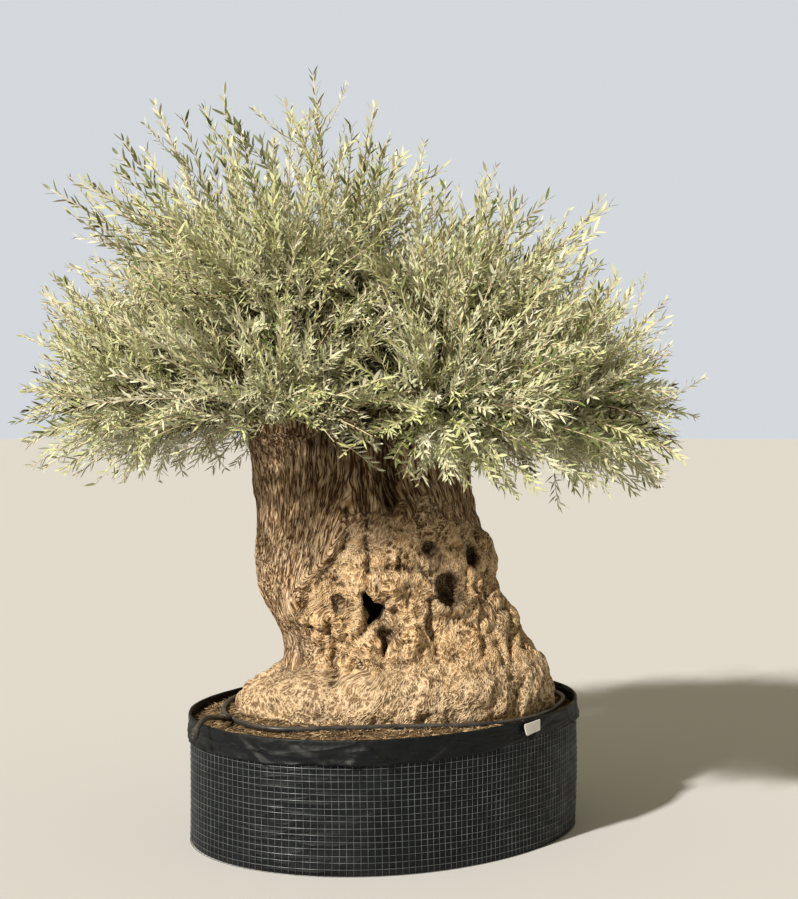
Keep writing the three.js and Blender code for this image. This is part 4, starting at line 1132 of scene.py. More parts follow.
# Along the left column the strips run together downward, so they are drawn on an upright column
# of its top's width and brought to each height's own width.
column_right = np.interp(z, *COLUMN_EDGE.T)
column_left = -section_at(np.minimum(z, COLUMN_TOP), LEFT)
column_half = np.maximum((column_right - column_left) / 2, COLUMN_HALF_LEAST)
column_middle = (column_right + column_left) / 2
gather = np.minimum(COLUMN_HALF / column_half, GATHER_MOST)
column_flow = np.stack([(x - column_middle) * gather - COLUMN_HALF, upright[:, 1], z], axis=-1)
wander = WANDER * noise(places, WANDER_SIZE, seed=20)
ragged_z = z + wander + RAGGED * noise(places * (1, 1, 0.3), RAGGED_SIZE, seed=25)
on_front = smoothstep(*TO_FRONT, y)
column = smoothstep(*COLUMN_BORDER, x - column_right + wander)
right_strings = on_front * smoothstep(*RIGHT_STRINGS_ACROSS, x) * smoothstep(*RIGHT_STRINGS_UP, ragged_z)
strip_zone = np.maximum.reduce([
    column * smoothstep(*COLUMN_FOOT, z),
    (1 - on_front) * smoothstep(*BACK_FOOT, z + wander),
    right_strings * RIGHT_STRINGS,
    on_front * smoothstep(*UNDER_CROWN_UP, ragged_z) * UNDER_CROWN,
    smoothstep(*HEADS_UP, z),
])
straight_flow = lerp(upright, column_flow, (on_front * column)[:, None])
mound = smoothstep(*MOUND_TOP, z + MOUND_WANDER * wander) * (1 - LESS_MOUND_ON_STRIPS * strip_zone)
burl = (1 - mound) * (1 - strip_zone)
fan = on_front * smoothstep(*FAN_RIGHT_EDGE, x + wander)
fan = fan * smoothstep(*FAN_TOP_EDGE, z) * smoothstep(*FAN_LOW_EDGE, z)
fan_turn = FAN_TURN * fan
from_fan = np.stack([x - FAN_AT[0], z - FAN_AT[1]])
swirled = np.stack([
    FAN_AT[0] + np.cos(fan_turn) * from_fan[0] + np.sin(fan_turn) * from_fan[1], y,
    FAN_AT[1] - np.sin(fan_turn) * from_fan[0] + np.cos(fan_turn) * from_fan[1]], axis=-1)
swirled += SWIRL * np.stack([noise(places, SWIRL_SIZE, seed) for seed in (21, 22, 23)], axis=-1)
ragged_strips = strip_zone + STRAIGHT_RAGGED * noise(places, STRAIGHT_RAGGED_SIZE, seed=24)
flow = lerp(swirled, straight_flow, smoothstep(*STRAIGHT_FROM, ragged_strips)[:, None])
fibres = np.maximum(strip_zone, FAN_STRIPS * fan)

strip_height = strips(flow, seed=30)
lump_height = lumps(places, LUMPS, seed=50)
mound_height = lumps(places, MOUND_LUMPS, seed=60)
pits = smoothstep(*PIT_EDGE, noise(places, PIT_SIZE, seed=70)) * burl
# How much painted shade darkens each place inside a hollow or a hole; lumps are calmer there too.
in_hole_shade = np.zeros(len(places))
for hollow_at, half_size, dark in HOLLOWS:
    gap = np.linalg.norm((places - hollow_at) / np.array(half_size), axis=1)
    in_hole_shade = np.maximum(in_hole_shade, dark * smoothstep(*HOLLOW_SHADE, gap))
holes = [(DARK_HOLE, DARK_HOLE_AT, DARK_HOLE_SHADE), (KEYHOLE, KEYHOLE_AT, KEYHOLE_SHADE)]
for hole, hole_at, dark in holes:
    hole_middle = np.array(hole).mean(axis=0)
    hole_half = np.ptp(np.array(hole), axis=0) / 2
    gap = np.linalg.norm((places[:, [0, 2]] - hole_middle) / hole_half, axis=1)
    behind = smoothstep(hole_at, hole_at + 0.03, places[:, 1])
    in_hole_shade = np.maximum(in_hole_shade, dark * smoothstep(*HOLE_SHADE, gap) * behind)
raised = smoothstep(*SMOOTH_LIMBS, z) * strip_zone * STRIP_DEEP * (strip_height - 0.5)
calmer = 1 - np.minimum(CALMED * in_hole_shade, CALMED_MOST)
raised += calmer * (burl * lump_height + mound * mound_height - PIT_DEEP * pits)
faces_front = smoothstep(*LINES_FACING, -normals[:, 1])
for line, line_wide, line_stand in FRONT_LINES:
    raised += faces_front * line_relief(places, line, line_wide, line_stand)
raised *= smoothstep(TRUNK_SECTIONS[0, 0], TRUNK_SECTIONS[0, 0] + FOOT_FADE, z)
places = places + raised[:, None] * normals

# How deep each place lies below the skin around it, for the painted shade that darkens recesses.
skin_around = softened(places, edges, 1.0, DEPTH_PASSES)
sunk = ((skin_around - places) * normals).sum(axis=1)
depth = np.clip(sunk / DEEP, -1, 1)


def keep(mesh, name, values):
    """Stores a number or a vector with each of a mesh's vertices."""
    kind, field = ("FLOAT", "value") if values.ndim == 1 else ("FLOAT_VECTOR", "vector")
    layer = mesh.attributes.new(name, kind, "POINT")
    layer.data.foreach_set(field, np.ascontiguousarray(values, dtype=np.float32).ravel())


wood_mesh.vertices.foreach_set("co", places.astype(np.float32).ravel())
for name, values in (("depth", depth), ("strips", strip_zone), ("mound", mound),
                     ("hollow", in_hole_shade), ("fibres", fibres), ("flow", flow)):
    keep(wood_mesh, name, values)
wood_mesh.polygons.foreach_set("use_smooth", np.ones(len(wood_mesh.polygons), bool))


# Bark. Grey-brown strips, golden-tan burl, and the mound pale as straw. Old wood weathers grey in
# patches. Painted shade darkens its cracks, pits, hollows and the burl's upper part, and a painted highlight
# lightens its crests.
BURL_SHADED = (0.20, 0.115, 0.062, 1)
WEATHERED = (0.32, 0.235, 0.155, 1)
# Painted shade in the cracks of the bark.
CRACK_PAINTED_SHADE = (0.068, 0.030, 0.008, 1)
# Painted shade in recesses, by how deep a place lies.
RECESS_PAINTED_SHADE = (0.055, 0.027, 0.010, 1)
# Painted highlight on the crests of the relief.
CREST_PAINTED_HIGHLIGHT = (0.84, 0.67, 0.46, 1)
# Painted shade inside hollows and holes.
HOLLOW_PAINTED_SHADE = (0.012, 0.008, 0.005, 1)
# How much of the painted shade in the cracks shows at least and at most, in patches, on the strips and on
# the mound.
CRACK_SHADE_LEAST = 0.22
CRACK_SHADE_MOST = 0.95
CRACK_SHADE_ON_STRIPS = 1.0
CRACK_SHADE_ON_MOUND = 0.74
bark, tree, shader = new_material("bark", Specular_IOR_Level=0.2)


def kept(name, output="Fac"):
    """A value that is stored with the vertices."""
    return add(tree, "ShaderNodeAttribute", attribute_name=name).outputs[output]


def scaled(value, *ranges):
    """A value brought from one range to another, and held to it."""
    low, high, to_low, to_high = ranges
    return add(tree, "ShaderNodeMapRange", {
        "Value": value, "From Min": low, "From Max": high, "To Min": to_low, "To Max": to_high}).outputs[0]


def bent_along(size, stretch):
    """The bark's flow, drawn out along itself and bent a little at random."""
    run = add(tree, "ShaderNodeMapping", {
        "Vector": kept("flow", "Vector"), "Scale": (1, 1, 1 / stretch)}).outputs[0]
    warp = add(tree, "ShaderNodeTexNoise", {
        "Vector": run, "Scale": 0.35 / size, "Detail": 2.0}).outputs["Color"]
    return add(tree, "ShaderNodeVectorMath", {
        0: warp, 1: (1.2 * size,) * 3, 2: run}, operation="MULTIPLY_ADD").outputs[0]


def chapped(size, stretch):
    """Crests and cracks of a size, from 0 in the cracks to about 1."""
    return add(tree, "ShaderNodeTexNoise", {
        "Vector": bent_along(size, stretch), "Scale": 1 / size, "Detail": 5.0, "Roughness": 0.62,
        "Offset": 0.9}, noise_type="RIDGED_MULTIFRACTAL", normalize=True).outputs["Fac"]


def cracked(size, stretch, crack):
    """Flat-topped strips or flakes of a size between narrow cracks: 0 in the cracks and 1 on top."""
    field = add(tree, "ShaderNodeTexNoise", {
        "Vector": bent_along(size, stretch), "Scale": 1 / size, "Detail": 1.5, "Roughness": 0.5,
    }).outputs["Fac"]
    away = add(tree, "ShaderNodeMath", {0: field, 1: 0.5}, operation="SUBTRACT").outputs[0]
    away = add(tree, "ShaderNodeMath", {0: away}, operation="ABSOLUTE").outputs[0]
    return scaled(away, 0.0, crack, 0.0, 1.0)


def total(*values):
    """The sum of several values."""
    value = values[0]
    for other in values[1:]:
        value = add(tree, "ShaderNodeMath", {0: value, 1: other}, operation="ADD").outputs[0]
    return value


place = add(tree, "ShaderNodeTexCoord").outputs["Object"]


def cloudy(scale, detail):
    """Soft, even noise over the bark."""
    return add(tree, "ShaderNodeTexNoise", {
        "Vector": place, "Scale": scale, "Detail": detail}).outputs["Fac"]


def between(amount, first, second):
    """The value between two others, by an amount from 0 to 1."""
    return add(tree, "ShaderNodeMix", {0: amount, 2: first, 3: second}).outputs[0]


def mottled(size, dark, light):
    """A dark and a light colour in blotches of a size."""
    return place_group(tree, mottle, Place=place, Size=size, Dark=dark, Light=light)["Color"]


# The finest relief, on one scale: low in the cracks and high on the crests.
strip_form = total(cracked(0.021, 9.0, 0.085), cracked(0.011, 8.0, 0.075), chapped(0.007, 9.0))
strip_form = scaled(strip_form, 0.7, 3.0, 0.35, 1.95)
burl_form = total(chapped(0.024, 1.2), chapped(0.009, 1.5))
fibrous = scaled(total(kept("fibres"), cloudy(30.0, 3.0)), 0.92, 1.08, 0.0, 1.0)
form = between(fibrous, burl_form, strip_form)
# The cracks are darkened with painted shade, which shows more in some patches than others.
crack_shade_shown = scaled(cloudy(9.0, 2.0), 0.36, 0.62, CRACK_SHADE_LEAST, CRACK_SHADE_MOST)
crack_shade_shown = between(fibrous, crack_shade_shown, CRACK_SHADE_ON_STRIPS)
crack_shade_shown = between(kept("mound"), crack_shade_shown, CRACK_SHADE_ON_MOUND)
crack_shade_mask = add(tree, "ShaderNodeMath", {
    0: scaled(form, 1.36, 0.92, 0.0, 0.94), 1: crack_shade_shown}, operation="MULTIPLY").outputs[0]

strip_colour = mottled(0.050, (0.27, 0.157, 0.077, 1), (0.49, 0.330, 0.192, 1))
burl_colour = mottled(0.060, (0.46, 0.280, 0.130, 1), (0.80, 0.555, 0.30, 1))
mound_colour = mottled(0.045, (0.40, 0.275, 0.150, 1), (0.60, 0.45, 0.285, 1))
height = add(tree, "ShaderNodeSeparateXYZ", {"Vector": place}).outputs["Z"]
burl_colour = mix(tree, scaled(height, 0.98, 1.35, 0.0, 0.55), burl_colour, BURL_SHADED)
wood_colour = mix(tree, kept("strips"), burl_colour, strip_colour)
wood_colour = mix(tree, kept("mound"), wood_colour, mound_colour)
for amount, colour in (
    (scaled(cloudy(5.0, 3.0), 0.48, 0.64, 0.0, 0.6), WEATHERED),
    # painted shade in the cracks
    (crack_shade_mask, CRACK_PAINTED_SHADE),
    # painted shade in the recesses
    (scaled(kept("depth"), 0.1, 1.0, 0.0, 0.8), RECESS_PAINTED_SHADE),
    # painted highlight on the crests
    (scaled(form, 1.40, 1.75, 0.0, 0.52), CREST_PAINTED_HIGHLIGHT),
    # painted shade inside the hollows and holes
    (scaled(kept("hollow"), 0.0, 1.0, 0.0, 0.97), HOLLOW_PAINTED_SHADE),
):
    wood_colour = mix(tree, amount, wood_colour, colour)
tree.links.new(wood_colour, shader.inputs["Base Color"])
tree.links.new(scaled(form, 0.6, 1.4, 1.0, 0.8), shader.inputs["Roughness"])
softer_mound = scaled(kept("mound"), 0.0, 1.0, 1.0, 0.7)
relief = add(tree, "ShaderNodeBump", {"Height": form, "Strength": softer_mound, "Distance": 0.007})
tree.links.new(relief.outputs[0], shader.inputs["Normal"])

wood_mesh.materials.clear()
wood_mesh.materials.append(bark)
wood = bpy.data.objects.new("trunk_and_boughs", wood_mesh)
bpy.context.scene.collection.objects.link(wood)
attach(wood, "root")
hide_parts("trunk", *[f"bough_{name}" for name, *_ in masses])


# Shoots and twigs. The crown is all young growth: long straight shoots that spread like a fan from
# the boughs' ends, with side twigs in a spiral along them. Tall ones stand up out of its top.
SHOOTS = 46
# The sine of the lowest and the highest shoot's rise over the fork.
LOWEST_SHOOT = -0.13
HIGHEST_SHOOT = 0.99
HIGHEST_FINER_SHOOT = 0.995
# Where shoots end, as shares of the way to the crown's body, and leaders to its fringe.
TIP_REACH = (0.88, 1.06)
LEADER_REACH = (0.86, 0.98)
LEADER_EVERY = 5
# A shoot that ends this far over the fork is a leader.
LEADER_ABOVE = 0.95
TIP_TURN_VARIES = 0.3
CROWN_SEED = 2024
GOLDEN_ANGLE = math.pi * (3 - math.sqrt(5))
# The tips of the shoots that make the crown's outline.
OUTLINE_TIPS = [
    (-1.358, 0.060, 2.566), (-1.154, -0.180, 2.562), (-0.926, 0.040, 2.898), (-0.658, 0.150, 2.966),
    (-0.406, -0.120, 2.890), (-0.294, 0.030, 3.018), (-0.046, 0.090, 2.900), (0.226, -0.060, 2.640),
    (0.402, 0.070, 2.638), (0.534, -0.150, 2.486), (0.714, 0.060, 2.418), (0.886, -0.040, 2.486),
    (-1.478, 0.080, 1.980), (-1.440, -0.240, 1.630), (1.236, -0.090, 1.650), (1.150, 0.200, 2.130),
    (0.720, -0.430, 1.262),
]
# Shoots leave their stem between these shares of its length, bend, and sag where they end low.
SHOOT_ROOTS = (0.62, 0.98)
SHOOT_BEND_AT = 0.42
SHOOT_BEND = 0.1
SAG_BELOW = FORK[2] + 0.25
SHOOT_SAG = 0.1
SHOOT_ARCH = -0.02
SHOOT_FOOT = 0.0085
SHOOT_TIP = 0.0015
# Sprays on a main shoot: where they sit, and how their length falls towards its tip and varies.
SPRAYS = 4
SPRAYS_AT = (0.32, 0.74)
SPRAY_STRAY = 0.04
SPRAY_LENGTH = 0.285
SPRAY_SHORTER = (1.08, 0.72)
SPRAY_VARIES = (0.85, 1.12)
SPRAY_ANGLE = math.radians(38)
# Finer shoots, and where they end: at the dome, at the fringe, or inside. The dome is lower on top.
FINER_SHOOTS = 2200
FINER_ROOTS = (0.40, 0.98)
FINER_FOOT = 0.0045
FINER_REACH = (0.78, 1.02)
FINER_LEADER_REACH = (0.80, 0.95)
INNER_REACH = (0.34, 0.74)
LOWER_ON_TOP = 0.86
TOWARD_TOP = (0.45, 0.85)
LEADER_SHARE = 0.07
LEADER_SHARE_ON_TOP = 0.16
MORE_LEADERS = (0.35, 0.8)
STRAY = 0.17
HEADING_VARIES = 0.05
FOOT_VARIES = (0.6, 1)
INNER_SHARE = 0.24
INNER_ROOTS = (0.05, 0.40)
# Twigs: how many, where on their shoot, and how long for the shoot's own length.
TWIGS_A_SHOOT = 4
TWIG_ANGLE = math.radians(30)
TWIG_ANGLE_VARIES = 0.12
TWIGS_FROM = 0.25
TWIGS_TO = 0.80
TWIGS_TO_ON_LEADER = 0.52
TWIG_SHARE = 0.42
LONGEST_AT_FOOT = 1.15
TWIG_LENGTHS = (0.07, 0.34)
TWIG_VARIES = (0.7, 1.15)
# How far a twig turns along its shoot and upward.
TWIG_TURNS_ALONG = 0.35
TWIG_TURNS_UP = 0.22
TWIG_FOOT = 0.0022
TWIG_TIP = 0.0009
# Sides and points of the stems, shoots and twigs. A stem starts a little way inside its bough.
STEM_SIDES = 8
STEM_POINTS = 7
STEM_INSIDE = 0.03
SHOOT_SIDES = 4
SHOOT_POINTS = 8
TWIG_SIDES = 3
TWIG_POINTS = 3
# Between these heights the crown grows denser: at the lower one it has this share of its twigs.
LOW = 1.50
HIGH = 2.10
LOW_TWIGS = 0.48
# The crown's underside on the front: it hangs lower on the right than over the left column.
SKIRT = np.array([
    (-1.60, 1.52), (-0.75, 1.56), (-0.48, 1.62), (-0.28, 1.64), (-0.12, 1.55), (-0.02, 1.47), (0.10, 1.42),
    (0.30, 1.38), (0.60, 1.33), (1.30, 1.28),
])
SKIRT_BEHIND = 1.36
SKIRT_TO_FRONT = (0.1, -0.35)
SKIRT_RAGGED = 0.09
SKIRT_LOCKS = 0.13
# Each mass keeps this far within its borders with the others.
BORDER = 0.0125
# Shoots stay this far out of the wood. A head counts as a little slimmer than its foot, and as a
# little longer, for its rounded top.
SHOOT_ROOM = 0.02
HEAD_COUNTS = 0.85
HEAD_LONGER = 1.1


def in_space(middle, places):
    """For each place, whether it lies in a mass's own space, within its borders."""
    inside = np.ones(places.shape[:-1], bool)
    for _, other, _ in masses:
        if np.allclose(other, middle):
            continue
        apart = unit(other - middle)
        inside &= (places - (middle + other) / 2) @ apart < -BORDER
    return inside


def shoot_tips():
    """The tips of the long shoots: an even spread over the dome, and those of the outline."""
    draw = seeded(CROWN_SEED)
    tips = []
    for i in range(SHOOTS):
        sine = lerp(LOWEST_SHOOT, HIGHEST_SHOOT, (i + 0.5) / SHOOTS)
        direction = direction_of(i * GOLDEN_ANGLE + TIP_TURN_VARIES * (draw() - 0.5), sine)
        length = draw()
        far = reach(BODY, direction) * lerp(*TIP_REACH, length)
        if i % LEADER_EVERY == 0:
            far = reach(FRINGE, direction) * lerp(*LEADER_REACH, length)
        tips.append(FORK + direction * far)
    return tips + [np.array(tip) for tip in OUTLINE_TIPS]


def shoot_curves(curves, tips, along):
    """Shoots from shares along their masses' stems to their own tips. Low ones sag."""
    start = bezier(curves, along)
    span = np.linalg.norm(tips - start, axis=-1, keepdims=True)
    bend = lerp(start, tips, SHOOT_BEND_AT) + SHOOT_BEND * span * bezier_ahead(curves, along)
    bend[..., 2:] += span * np.where(tips[..., 2:] < SAG_BELOW, SHOOT_SAG, SHOOT_ARCH)
    return np.stack([start, bend, tips], axis=-2)


def nearest_mass(places):
    """The number of the mass whose middle is nearest to each place."""
    middles = np.array([middle for _, middle, _ in masses])
    return np.linalg.norm(places[:, None] - middles, axis=-1).argmin(axis=1)


def main_shoots():
    """The shoots and sprays that the solids have, by the same rule and the same random numbers."""
    tips = np.array(shoot_tips())
    owners = nearest_mass(tips)
    shoots, sprays = [], []
    for number, (_, middle, curve) in enumerate(masses):
        draw = seeded(CROWN_SEED + 100 * (number + 1))
        for tip in tips[owners == number]:
            shoot = shoot_curves(curve, tip, lerp(*SHOOT_ROOTS, draw()))
            turn = draw() * 2 * math.pi
            spots = []
            for i in range(SPRAYS):
                share = lerp(*SPRAYS_AT, i / (SPRAYS - 1)) + SPRAY_STRAY * (draw() - 0.5)
                length = SPRAY_LENGTH * lerp(*SPRAY_SHORTER, share) * lerp(*SPRAY_VARIES, draw())
                spots.append((share, turn + i * GOLDEN_ANGLE, length))
            if in_space(middle, bezier(shoot, [0.25, 0.5, 0.75, 1])).all():
                shoots.append((number, shoot))
                sprays += [(number, shoot, *spot) for spot in spots]
    return shoots, sprays


def twig_curves(parents, shares, turns, lengths, angles):
    """Side twigs that leave their parents in a spiral and turn upward and along with them."""
    root = bezier(parents, shares)
    ahead = bezier_ahead(parents, shares)
    side, up = across(ahead, steady_references(ahead))
    away = np.cos(turns)[:, None] * side + np.sin(turns)[:, None] * up
    out = np.cos(angles)[:, None] * ahead + np.sin(angles)[:, None] * away
    bend = root + 0.5 * lengths[:, None] * out
    end = bend + 0.5 * lengths[:, None] * unit(out + TWIG_TURNS_ALONG * ahead + (0, 0, TWIG_TURNS_UP))
    return np.stack([root, bend, end], axis=1)


draw = np.random.default_rng(CROWN_SEED)
main, sprays = main_shoots()
main_owners = np.array([number for number, _ in main])
main_curves = np.array([curve for _, curve in main])
main_leads = main_curves[:, 2, 2] > FORK[2] + LEADER_ABOVE

# Finer shoots fill the crown between the main ones: most have their tips at the dome's surface, some
# are leaders that stand out of it, and some stay short and fill the crown's inside.
count = FINER_SHOOTS
sines = lerp(LOWEST_SHOOT, HIGHEST_FINER_SHOOT, (np.arange(count) + 0.5) / count)
directions = direction_of(np.arange(count) * GOLDEN_ANGLE + draw.normal(0, HEADING_VARIES, count), sines)
kinds = draw.random(count)
leads = kinds < lerp(LEADER_SHARE, LEADER_SHARE_ON_TOP, smoothstep(*MORE_LEADERS, sines))
inner = kinds > 1 - INNER_SHARE
flatter = lerp(1.0, LOWER_ON_TOP, smoothstep(*TOWARD_TOP, sines))
far = reach(BODY, directions) * draw.uniform(*FINER_REACH, count) * flatter
far[leads] = reach(FRINGE, directions[leads]) * draw.uniform(*FINER_LEADER_REACH, leads.sum())
far[inner] = reach(BODY, directions[inner]) * draw.uniform(*INNER_REACH, inner.sum())
tips = FORK + directions * far[:, None]
finer_owners = nearest_mass(tips + draw.normal(0, STRAY, (count, 3)))
along = np.where(inner, draw.uniform(*INNER_ROOTS, count), draw.uniform(*FINER_ROOTS, count))
finer_curves = shoot_curves(limb_curves[finer_owners], tips, along)
shoots = np.concatenate([main_curves, finer_curves])
shoot_owners = np.concatenate([main_owners, finer_owners])
shoot_leads = np.concatenate([main_leads, leads])
finer_feet = draw.uniform(*FOOT_VARIES, count) * FINER_FOOT
shoot_feet = np.concatenate([np.full(len(main_curves), SHOOT_FOOT), finer_feet])

# Twigs: a group for each spray that the solids have, and a spiral of them on every shoot.
spray_parents = np.array([shoot for _, shoot, *_ in sprays])
spray_shares, spray_turns, spray_lengths = np.array([spot for _, _, *spot in sprays]).T
parent = np.repeat(np.arange(len(shoots)), TWIGS_A_SHOOT)
step = np.tile(np.arange(TWIGS_A_SHOOT), len(shoots))
twigs_to = np.where(shoot_leads, TWIGS_TO_ON_LEADER, TWIGS_TO)[parent]
twig_shares = lerp(TWIGS_FROM, twigs_to, (step + draw.uniform(0, 1, len(step))) / TWIGS_A_SHOOT)
spans = np.linalg.norm(shoots[:, 2] - shoots[:, 0], axis=1)[parent]
twig_lengths = np.clip(TWIG_SHARE * spans * (LONGEST_AT_FOOT - twig_shares), *TWIG_LENGTHS)
twig_lengths = twig_lengths * draw.uniform(*TWIG_VARIES, len(step))
twigs = twig_curves(
    np.concatenate([spray_parents, shoots[parent]]),
    np.concatenate([spray_shares, twig_shares]),
    np.concatenate([spray_turns, draw.uniform(0, 2 * math.pi, len(shoots))[parent] + step * GOLDEN_ANGLE]),
    np.concatenate([spray_lengths, twig_lengths]),
    np.concatenate([
        np.full(len(sprays), SPRAY_ANGLE), draw.normal(TWIG_ANGLE, TWIG_ANGLE_VARIES, len(step))]),
)
twig_owners = np.concatenate([[number for number, *_ in sprays], shoot_owners[parent]]).astype(int)


def clear_of_wood(places, room):
    """Whether places are outside the trunk and its heads, by some room."""
    x, y, z = np.moveaxis(places, -1, 0)
    half_wide, half_deep = trunk_halves(y, z)
    clear = np.hypot((x - trunk_middle(z)) / (half_wide + room), y / (half_deep + room)) > 1
    clear |= z > TRUNK_SECTIONS[-1, 0] + room
    for low, high, low_radius, _ in HEADS:
        low, high = np.array(low), np.array(high)
        run = high - low
        share = np.clip((places - low) @ run / (run @ run), 0, HEAD_LONGER)
        away = np.linalg.norm(places - low - share[..., None] * run, axis=-1)
        clear &= away > HEAD_COUNTS * low_radius + room
    return clear


def in_crown(places):
    """Whether places are above the crown's ragged underside, on the front and round the sides."""
    x, y, z = np.moveaxis(places, -1, 0)
    lowest = lerp(SKIRT_BEHIND, np.interp(x, *SKIRT.T), smoothstep(*SKIRT_TO_FRONT, y))
    return z > lowest + SKIRT_RAGGED * noise(places, SKIRT_LOCKS, seed=80)


def grown(curves):
    """Whether whole curves are clear of the wood and in the crown."""
    ends = bezier(curves[:, None], np.array([0.5, 1.0]))
    return (clear_of_wood(ends, SHOOT_ROOM) & in_crown(ends)).all(axis=1)


kept_shoots = grown(shoots) | (shoot_feet == SHOOT_FOOT) & in_crown(shoots[:, 2])
kept_twigs = grown(twigs) & np.concatenate([np.ones(len(sprays), bool), kept_shoots[parent]])
kept_twigs &= draw.random(len(twigs)) < lerp(LOW_TWIGS, 1.0, smoothstep(LOW, HIGH, twigs[:, 2, 2]))
shoots, shoot_owners, shoot_feet, shoot_leads = (
    values[kept_shoots] for values in (shoots, shoot_owners, shoot_feet, shoot_leads))
twigs, twig_owners = twigs[kept_twigs], twig_owners[kept_twigs]

shoot_bark, tree, shader = new_material("shoot_bark", Roughness=0.75, Specular_IOR_Level=0.3)
place = add(tree, "ShaderNodeTexCoord").outputs["Object"]
young = place_group(
    tree, mottle, Place=place, Size=0.03, Dark=(0.43, 0.33, 0.20, 1), Light=(0.76, 0.65, 0.46, 1))
tree.links.new(young["Color"], shader.inputs["Base Color"])

stem_shares = np.linspace(BOUGH_SHARE - STEM_INSIDE, 1, STEM_POINTS)
stem_radii = lerp(BOUGH_TIP, STEM_TIP, (stem_shares - stem_shares[0]) / (1 - stem_shares[0]))
stem_tubes = tubes(bezier(limb_curves[:, None], stem_shares), stem_radii, STEM_SIDES)
along_shoot = np.linspace(0, 1, SHOOT_POINTS)
shoot_radii = lerp(shoot_feet[:, None], SHOOT_TIP, along_shoot)
shoot_tubes = tubes(bezier(shoots[:, None], along_shoot), shoot_radii, SHOOT_SIDES)
along_twig = np.linspace(0, 1, TWIG_POINTS)
twig_radii = lerp(TWIG_FOOT, TWIG_TIP, along_twig)
twig_tubes = tubes(bezier(twigs[:, None], along_twig), twig_radii, TWIG_SIDES)
for name, shapes in (("long_shoots", joined(stem_tubes, shoot_tubes)), ("side_twigs", twig_tubes)):
    piece = mesh_piece(name, *shapes, [shoot_bark])
    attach(piece, "root")


# Leaves. Narrow olive leaves in pairs, each pair across the last, grey-green above and silvery
# below. Each spray has one tone: grey-green or sage outside, mostly dark painted shade inside the crown.
LEAF_ARCH = 0.12
# Leaves arch between these multiples of it.
LEAF_ARCHES = (-0.4, 1.6)
# Length, width and pitch of the pairs, on a twig, a shoot and a leader.
ON_TWIG = (0.043, 0.0075, 0.0205)
ON_SHOOT = (0.046, 0.0082, 0.0215)
ON_LEADER = (0.060, 0.0112, 0.0275)
# Leaves that hang low in the crown are longer, and hardly wider.
LOW_LONGER = 1.32
LOW_WIDER = 1.02
# Young leaves at the tips, over this last share of a stem, are shorter.
YOUNG_LEAF = 0.6
YOUNG_SHARE = 0.12
YOUNG_SHARE_ON_LEADER = 0.05
LENGTH_VARIES = (0.75, 1.15)
WIDTH_VARIES = (0.75, 1.2)
# Leaves spread from their stem by these angles, in radians, at its foot and at its tip. They vary in
# that, in their turn round the stem and in heading, and lift a little.
SPREAD = (0.85, 0.48)
SPREAD_ON_LEADER = (0.80, 0.56)
SPREAD_VARIES = 0.12
PAIR_TURN_VARIES = 0.25
LEAF_LIFT = 0.10
LEAF_STRAY = 0.07
# Leaves turn their upper sides along the stem, to the brightest light and upward, and vary in this.
BRIGHTEST = np.array((-0.545, -0.650, 0.530))
FACES_ALONG = 0.5
FACES_LIGHT = 0.4
FACES_UP = 0.4
FACING_VARIES = 0.45
# Leaves stay this far out of the wood, and start at these shares of a shoot and of a twig.
LEAF_ROOM = 0.01
LEAVES_FROM_ON_SHOOT = 0.30
LEAVES_FROM_ON_TWIG = 0.10
# Each tone: the colour above and below, and its share of the sprays deep inside the crown, at its
# outside and on the leaders.
LEAF_TONES = [
    ("grey_green", (0.455, 0.485, 0.255, 1), (0.56, 0.56, 0.40, 1), 0.10, 0.34, 0.38),
    ("sage", (0.505, 0.525, 0.355, 1), (0.59, 0.59, 0.45, 1), 0.00, 0.42, 0.17),
    ("fresh", (0.480, 0.520, 0.245, 1), (0.56, 0.58, 0.40, 1), 0.00, 0.12, 0.05),
    ("deep", (0.135, 0.165, 0.056, 1), (0.36, 0.37, 0.24, 1), 0.10, 0.05, 0.38),
    ("pale", (0.570, 0.570, 0.450, 1), (0.61, 0.60, 0.48, 1), 0.00, 0.07, 0.02),
    # The shade tone is painted shade that darkens the crown's inside, near black on both sides.
    ("shade", (0.028, 0.021, 0.005, 1), (0.040, 0.030, 0.008, 1), 0.80, 0.00, 0.00),
]
# What counts as deep inside and as outside, as shares of the way to the body's outline.
DEEP_INSIDE = 0.63
OUTSIDE = 0.82
# Low in the crown, sprays count as this much further in, so more of them carry the painted shade.
LOW_LIT = 0.85
# Sprays that end below these heights hang out of the crown's underside, where light reaches them.
HANGING = (1.66, 1.54)


